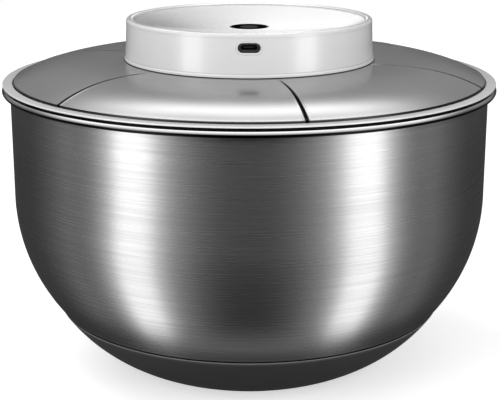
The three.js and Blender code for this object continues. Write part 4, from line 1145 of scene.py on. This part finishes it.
def world(level):
    """White to the camera and in reflections, and a lower level as light."""
    studio = bpy.data.worlds.new("studio")
    bpy.context.scene.world = studio
    stage = Stage(studio, "OutputWorld")
    seen = stage.seen("Is Glossy Ray", "Is Transmission Ray")
    stage.show(stage.add("Background", (WHITE, stage.spread(seen, level, 1.0, 0, 1))))


# What the cove shows to reflections below the horizon, by their direction in degrees from straight in front
# to each side: dark cards in front and at the sides, and tall light panels between them
COVE_ROUND = (
    (0, 0.03), (12, 0.045), (22, 0.11), (34, 0.29), (42, 0.72), (47, 1.6), (61, 1.75), (66, 0.66),
    (75, 0.24), (84, 0.16), (92, 0.2), (104, 0.11), (120, 0.05), (160, 0.04), (180, 0.1),
)
# What it shows behind and overhead, by the height of the direction in degrees over the horizon
COVE_RISE = (
    (0, 0.12), (5, 0.13), (8, 0.14), (11, 0.21), (14, 0.34), (20, 0.48), (38, 0.5), (44, 0.75), (48, 2.4),
    (51, 5.2), (55, 5.2), (58, 3.2), (61, 1.8), (66, 1.5), (90, 1.6),
)
COVE_PEAK = 5.2
# How much lower, in degrees, its bright band lies at both sides than straight behind, and its level there
COVE_LEAN = 6
COVE_SIDE_PEAK = 1.6
# What it shows at the sides, above the cards and panels
COVE_TOP = 2.3
# Brightest level of a narrow card straight behind
CARD_LEVEL = 1.25
COVE_COLUMNS = 72


def cove():
    """Sheet under, round and over the object, seen only in reflections."""
    material = bpy.data.materials.new("cove")
    stage = Stage(material, "OutputMaterial")
    place = stage.add("NewGeometry").outputs["Position"]
    x, y, z = stage.add("SeparateXYZ", (place,)).outputs
    away = stage.vector("LENGTH", stage.vector("MULTIPLY", place, (1, 1, 0))[0])["Value"]
    azimuth = stage.math("ARCTAN2", stage.math("ABSOLUTE", x), stage.product(y, -1.0))
    # A reflection that reaches the floor close by left the bowl at a smaller azimuth than its direction has
    near = stage.math("MINIMUM", stage.math("DIVIDE", 0.82 * bowl_radius * MM, away), 1.0)
    start = stage.math("DIVIDE", azimuth, stage.math("SUBTRACT", 2.0, near))
    bend = stage.math("ARCSINE", stage.product(near, stage.math("SINE", start)))
    direction = stage.math("DIVIDE", stage.math("ADD", azimuth, bend), pi)
    rise = stage.math("ARCTAN2", stage.math("SUBTRACT", z, dome_top * MM), away)
    across = stage.math("DIVIDE", x, away)

    def by_direction(low, high, first=0.0, second=1.0):
        """From a first to a second level between two directions in degrees."""
        return stage.spread(direction, first, second, low / 180, high / 180)

    def by_rise(low, high):
        """From 0 to 1 between two heights in degrees."""
        return stage.spread(rise, 0.0, 1.0, radians(low), radians(high))

    # Between the hub's height and the foot's, panels seen further out are dimmer, and the furthest bright
    dimmer = stage.spread(away, 1.0, 0.84, 0.3, 0.55)
    far = stage.product(stage.spread(away, 0, 1, 0.84, 0.92), stage.spread(rise, 0, 1, 0.0, -0.02))
    round_level = stage.levels(direction, COVE_ROUND)
    round_level = stage.product(round_level, stage.math("MULTIPLY_ADD", far, 1.2, dimmer))
    side_level = stage.mix(by_rise(18, 31), round_level, COVE_TOP)
    lean = by_direction(180, 158, 0.0, radians(COVE_LEAN))
    height = stage.math("DIVIDE", stage.math("ADD", rise, lean), pi / 2)
    most = by_direction(150, 167, COVE_SIDE_PEAK, COVE_PEAK)
    rise_level = stage.math("MINIMUM", stage.levels(height, COVE_RISE), most)
    behind = stage.product(by_direction(95, 125), by_rise(0, 3))
    level = stage.mix(behind, side_level, rise_level)
    # A narrow card straight behind, dark at its left, that the hub's dished top reflects
    card = stage.spread(across, 0.05, CARD_LEVEL, -0.06, 0.012)
    on_card = stage.spread(stage.math("ABSOLUTE", across), 0, 1, 0.088, 0.076)
    on_card = stage.product(behind, on_card, by_rise(30, 26), by_rise(0, 1))
    level = stage.mix(on_card, level, card)
    # Close to the foot: a pale ring, and dark inside it
    ring_level = stage.spread(stage.product(away, by_direction(100, 60)), 0.03, 0.22, 0.104, 0.12)
    level = stage.mix(stage.spread(away, 0, 1, 0.12, 0.142), ring_level, level)
    stage.show(stage.add("Emission", (WHITE, level)))
    floor_level = 0.5
    outline = [(radius, floor_level) for radius in (60, 100, 150, 400, 900, 1500)]
    outline += [(2000, 80), *arc((300, 300), 2000, 0, 88, 18)]
    turns = [tau * i / COVE_COLUMNS for i in range(COVE_COLUMNS)]
    mesh = bmesh.new()
    rings = []
    for radius, height in outline:
        rings.append([mesh.verts.new(polar(radius, turn, height)) for turn in turns])
    skin(mesh, rings)
    sheet = make("cove", mesh, material)
    for rays in ("camera", "diffuse", "transmission", "volume_scatter", "shadow"):
        setattr(sheet, "visible_" + rays, False)


SIDE_LAMP_AZIMUTH = radians(42)
SIDE_LAMP_AWAY = 2.0
SIDE_LAMP_Z = 0.95


def softbox(name, place, aim, size, radiance):
    """Area lamp, in metres, that faces a point and lights matt surfaces. Shiny ones reflect the cove."""
    data = bpy.data.lights.new(name, "AREA")
    data.shape = "RECTANGLE"
    data.size, data.size_y = size
    data.energy = radiance * pi * size[0] * size[1]
    lamp = linked(name, data)
    lamp.location = place
    lamp.visible_glossy = False
    lamp.rotation_euler = (Vector(aim) - Vector(place)).to_track_quat("-Z", "Y").to_euler()


def camera():
    """Camera in metres at the photograph's viewing angle."""
    data = bpy.data.cameras.new("camera")
    data.lens = 92.84
    data.sensor_width = 36
    data.shift_x = 0.0016
    data.shift_y = 0.001
    view = linked("camera", data)
    view.location = (0, -0.7048, 0.2822)
    view.rotation_euler = (radians(74.579), 0, 0)
    bpy.context.scene.camera = view


floor()
world(level=0.45)
cove()
for side in (-1, 1):
    x = side * SIDE_LAMP_AWAY * sin(SIDE_LAMP_AZIMUTH)
    place = (x, -SIDE_LAMP_AWAY * cos(SIDE_LAMP_AZIMUTH), SIDE_LAMP_Z)
    softbox(f"side_{side}", place, aim=(0, 0, 0.12), size=(0.92, 1.6), radiance=3.9)
softbox("overhead", (-1.0, 0.7, 1.5), aim=(0, 0, 0.15), size=(1.2, 1.2), radiance=2.6)
camera()
bpy.context.scene.view_settings.view_transform = "Standard"
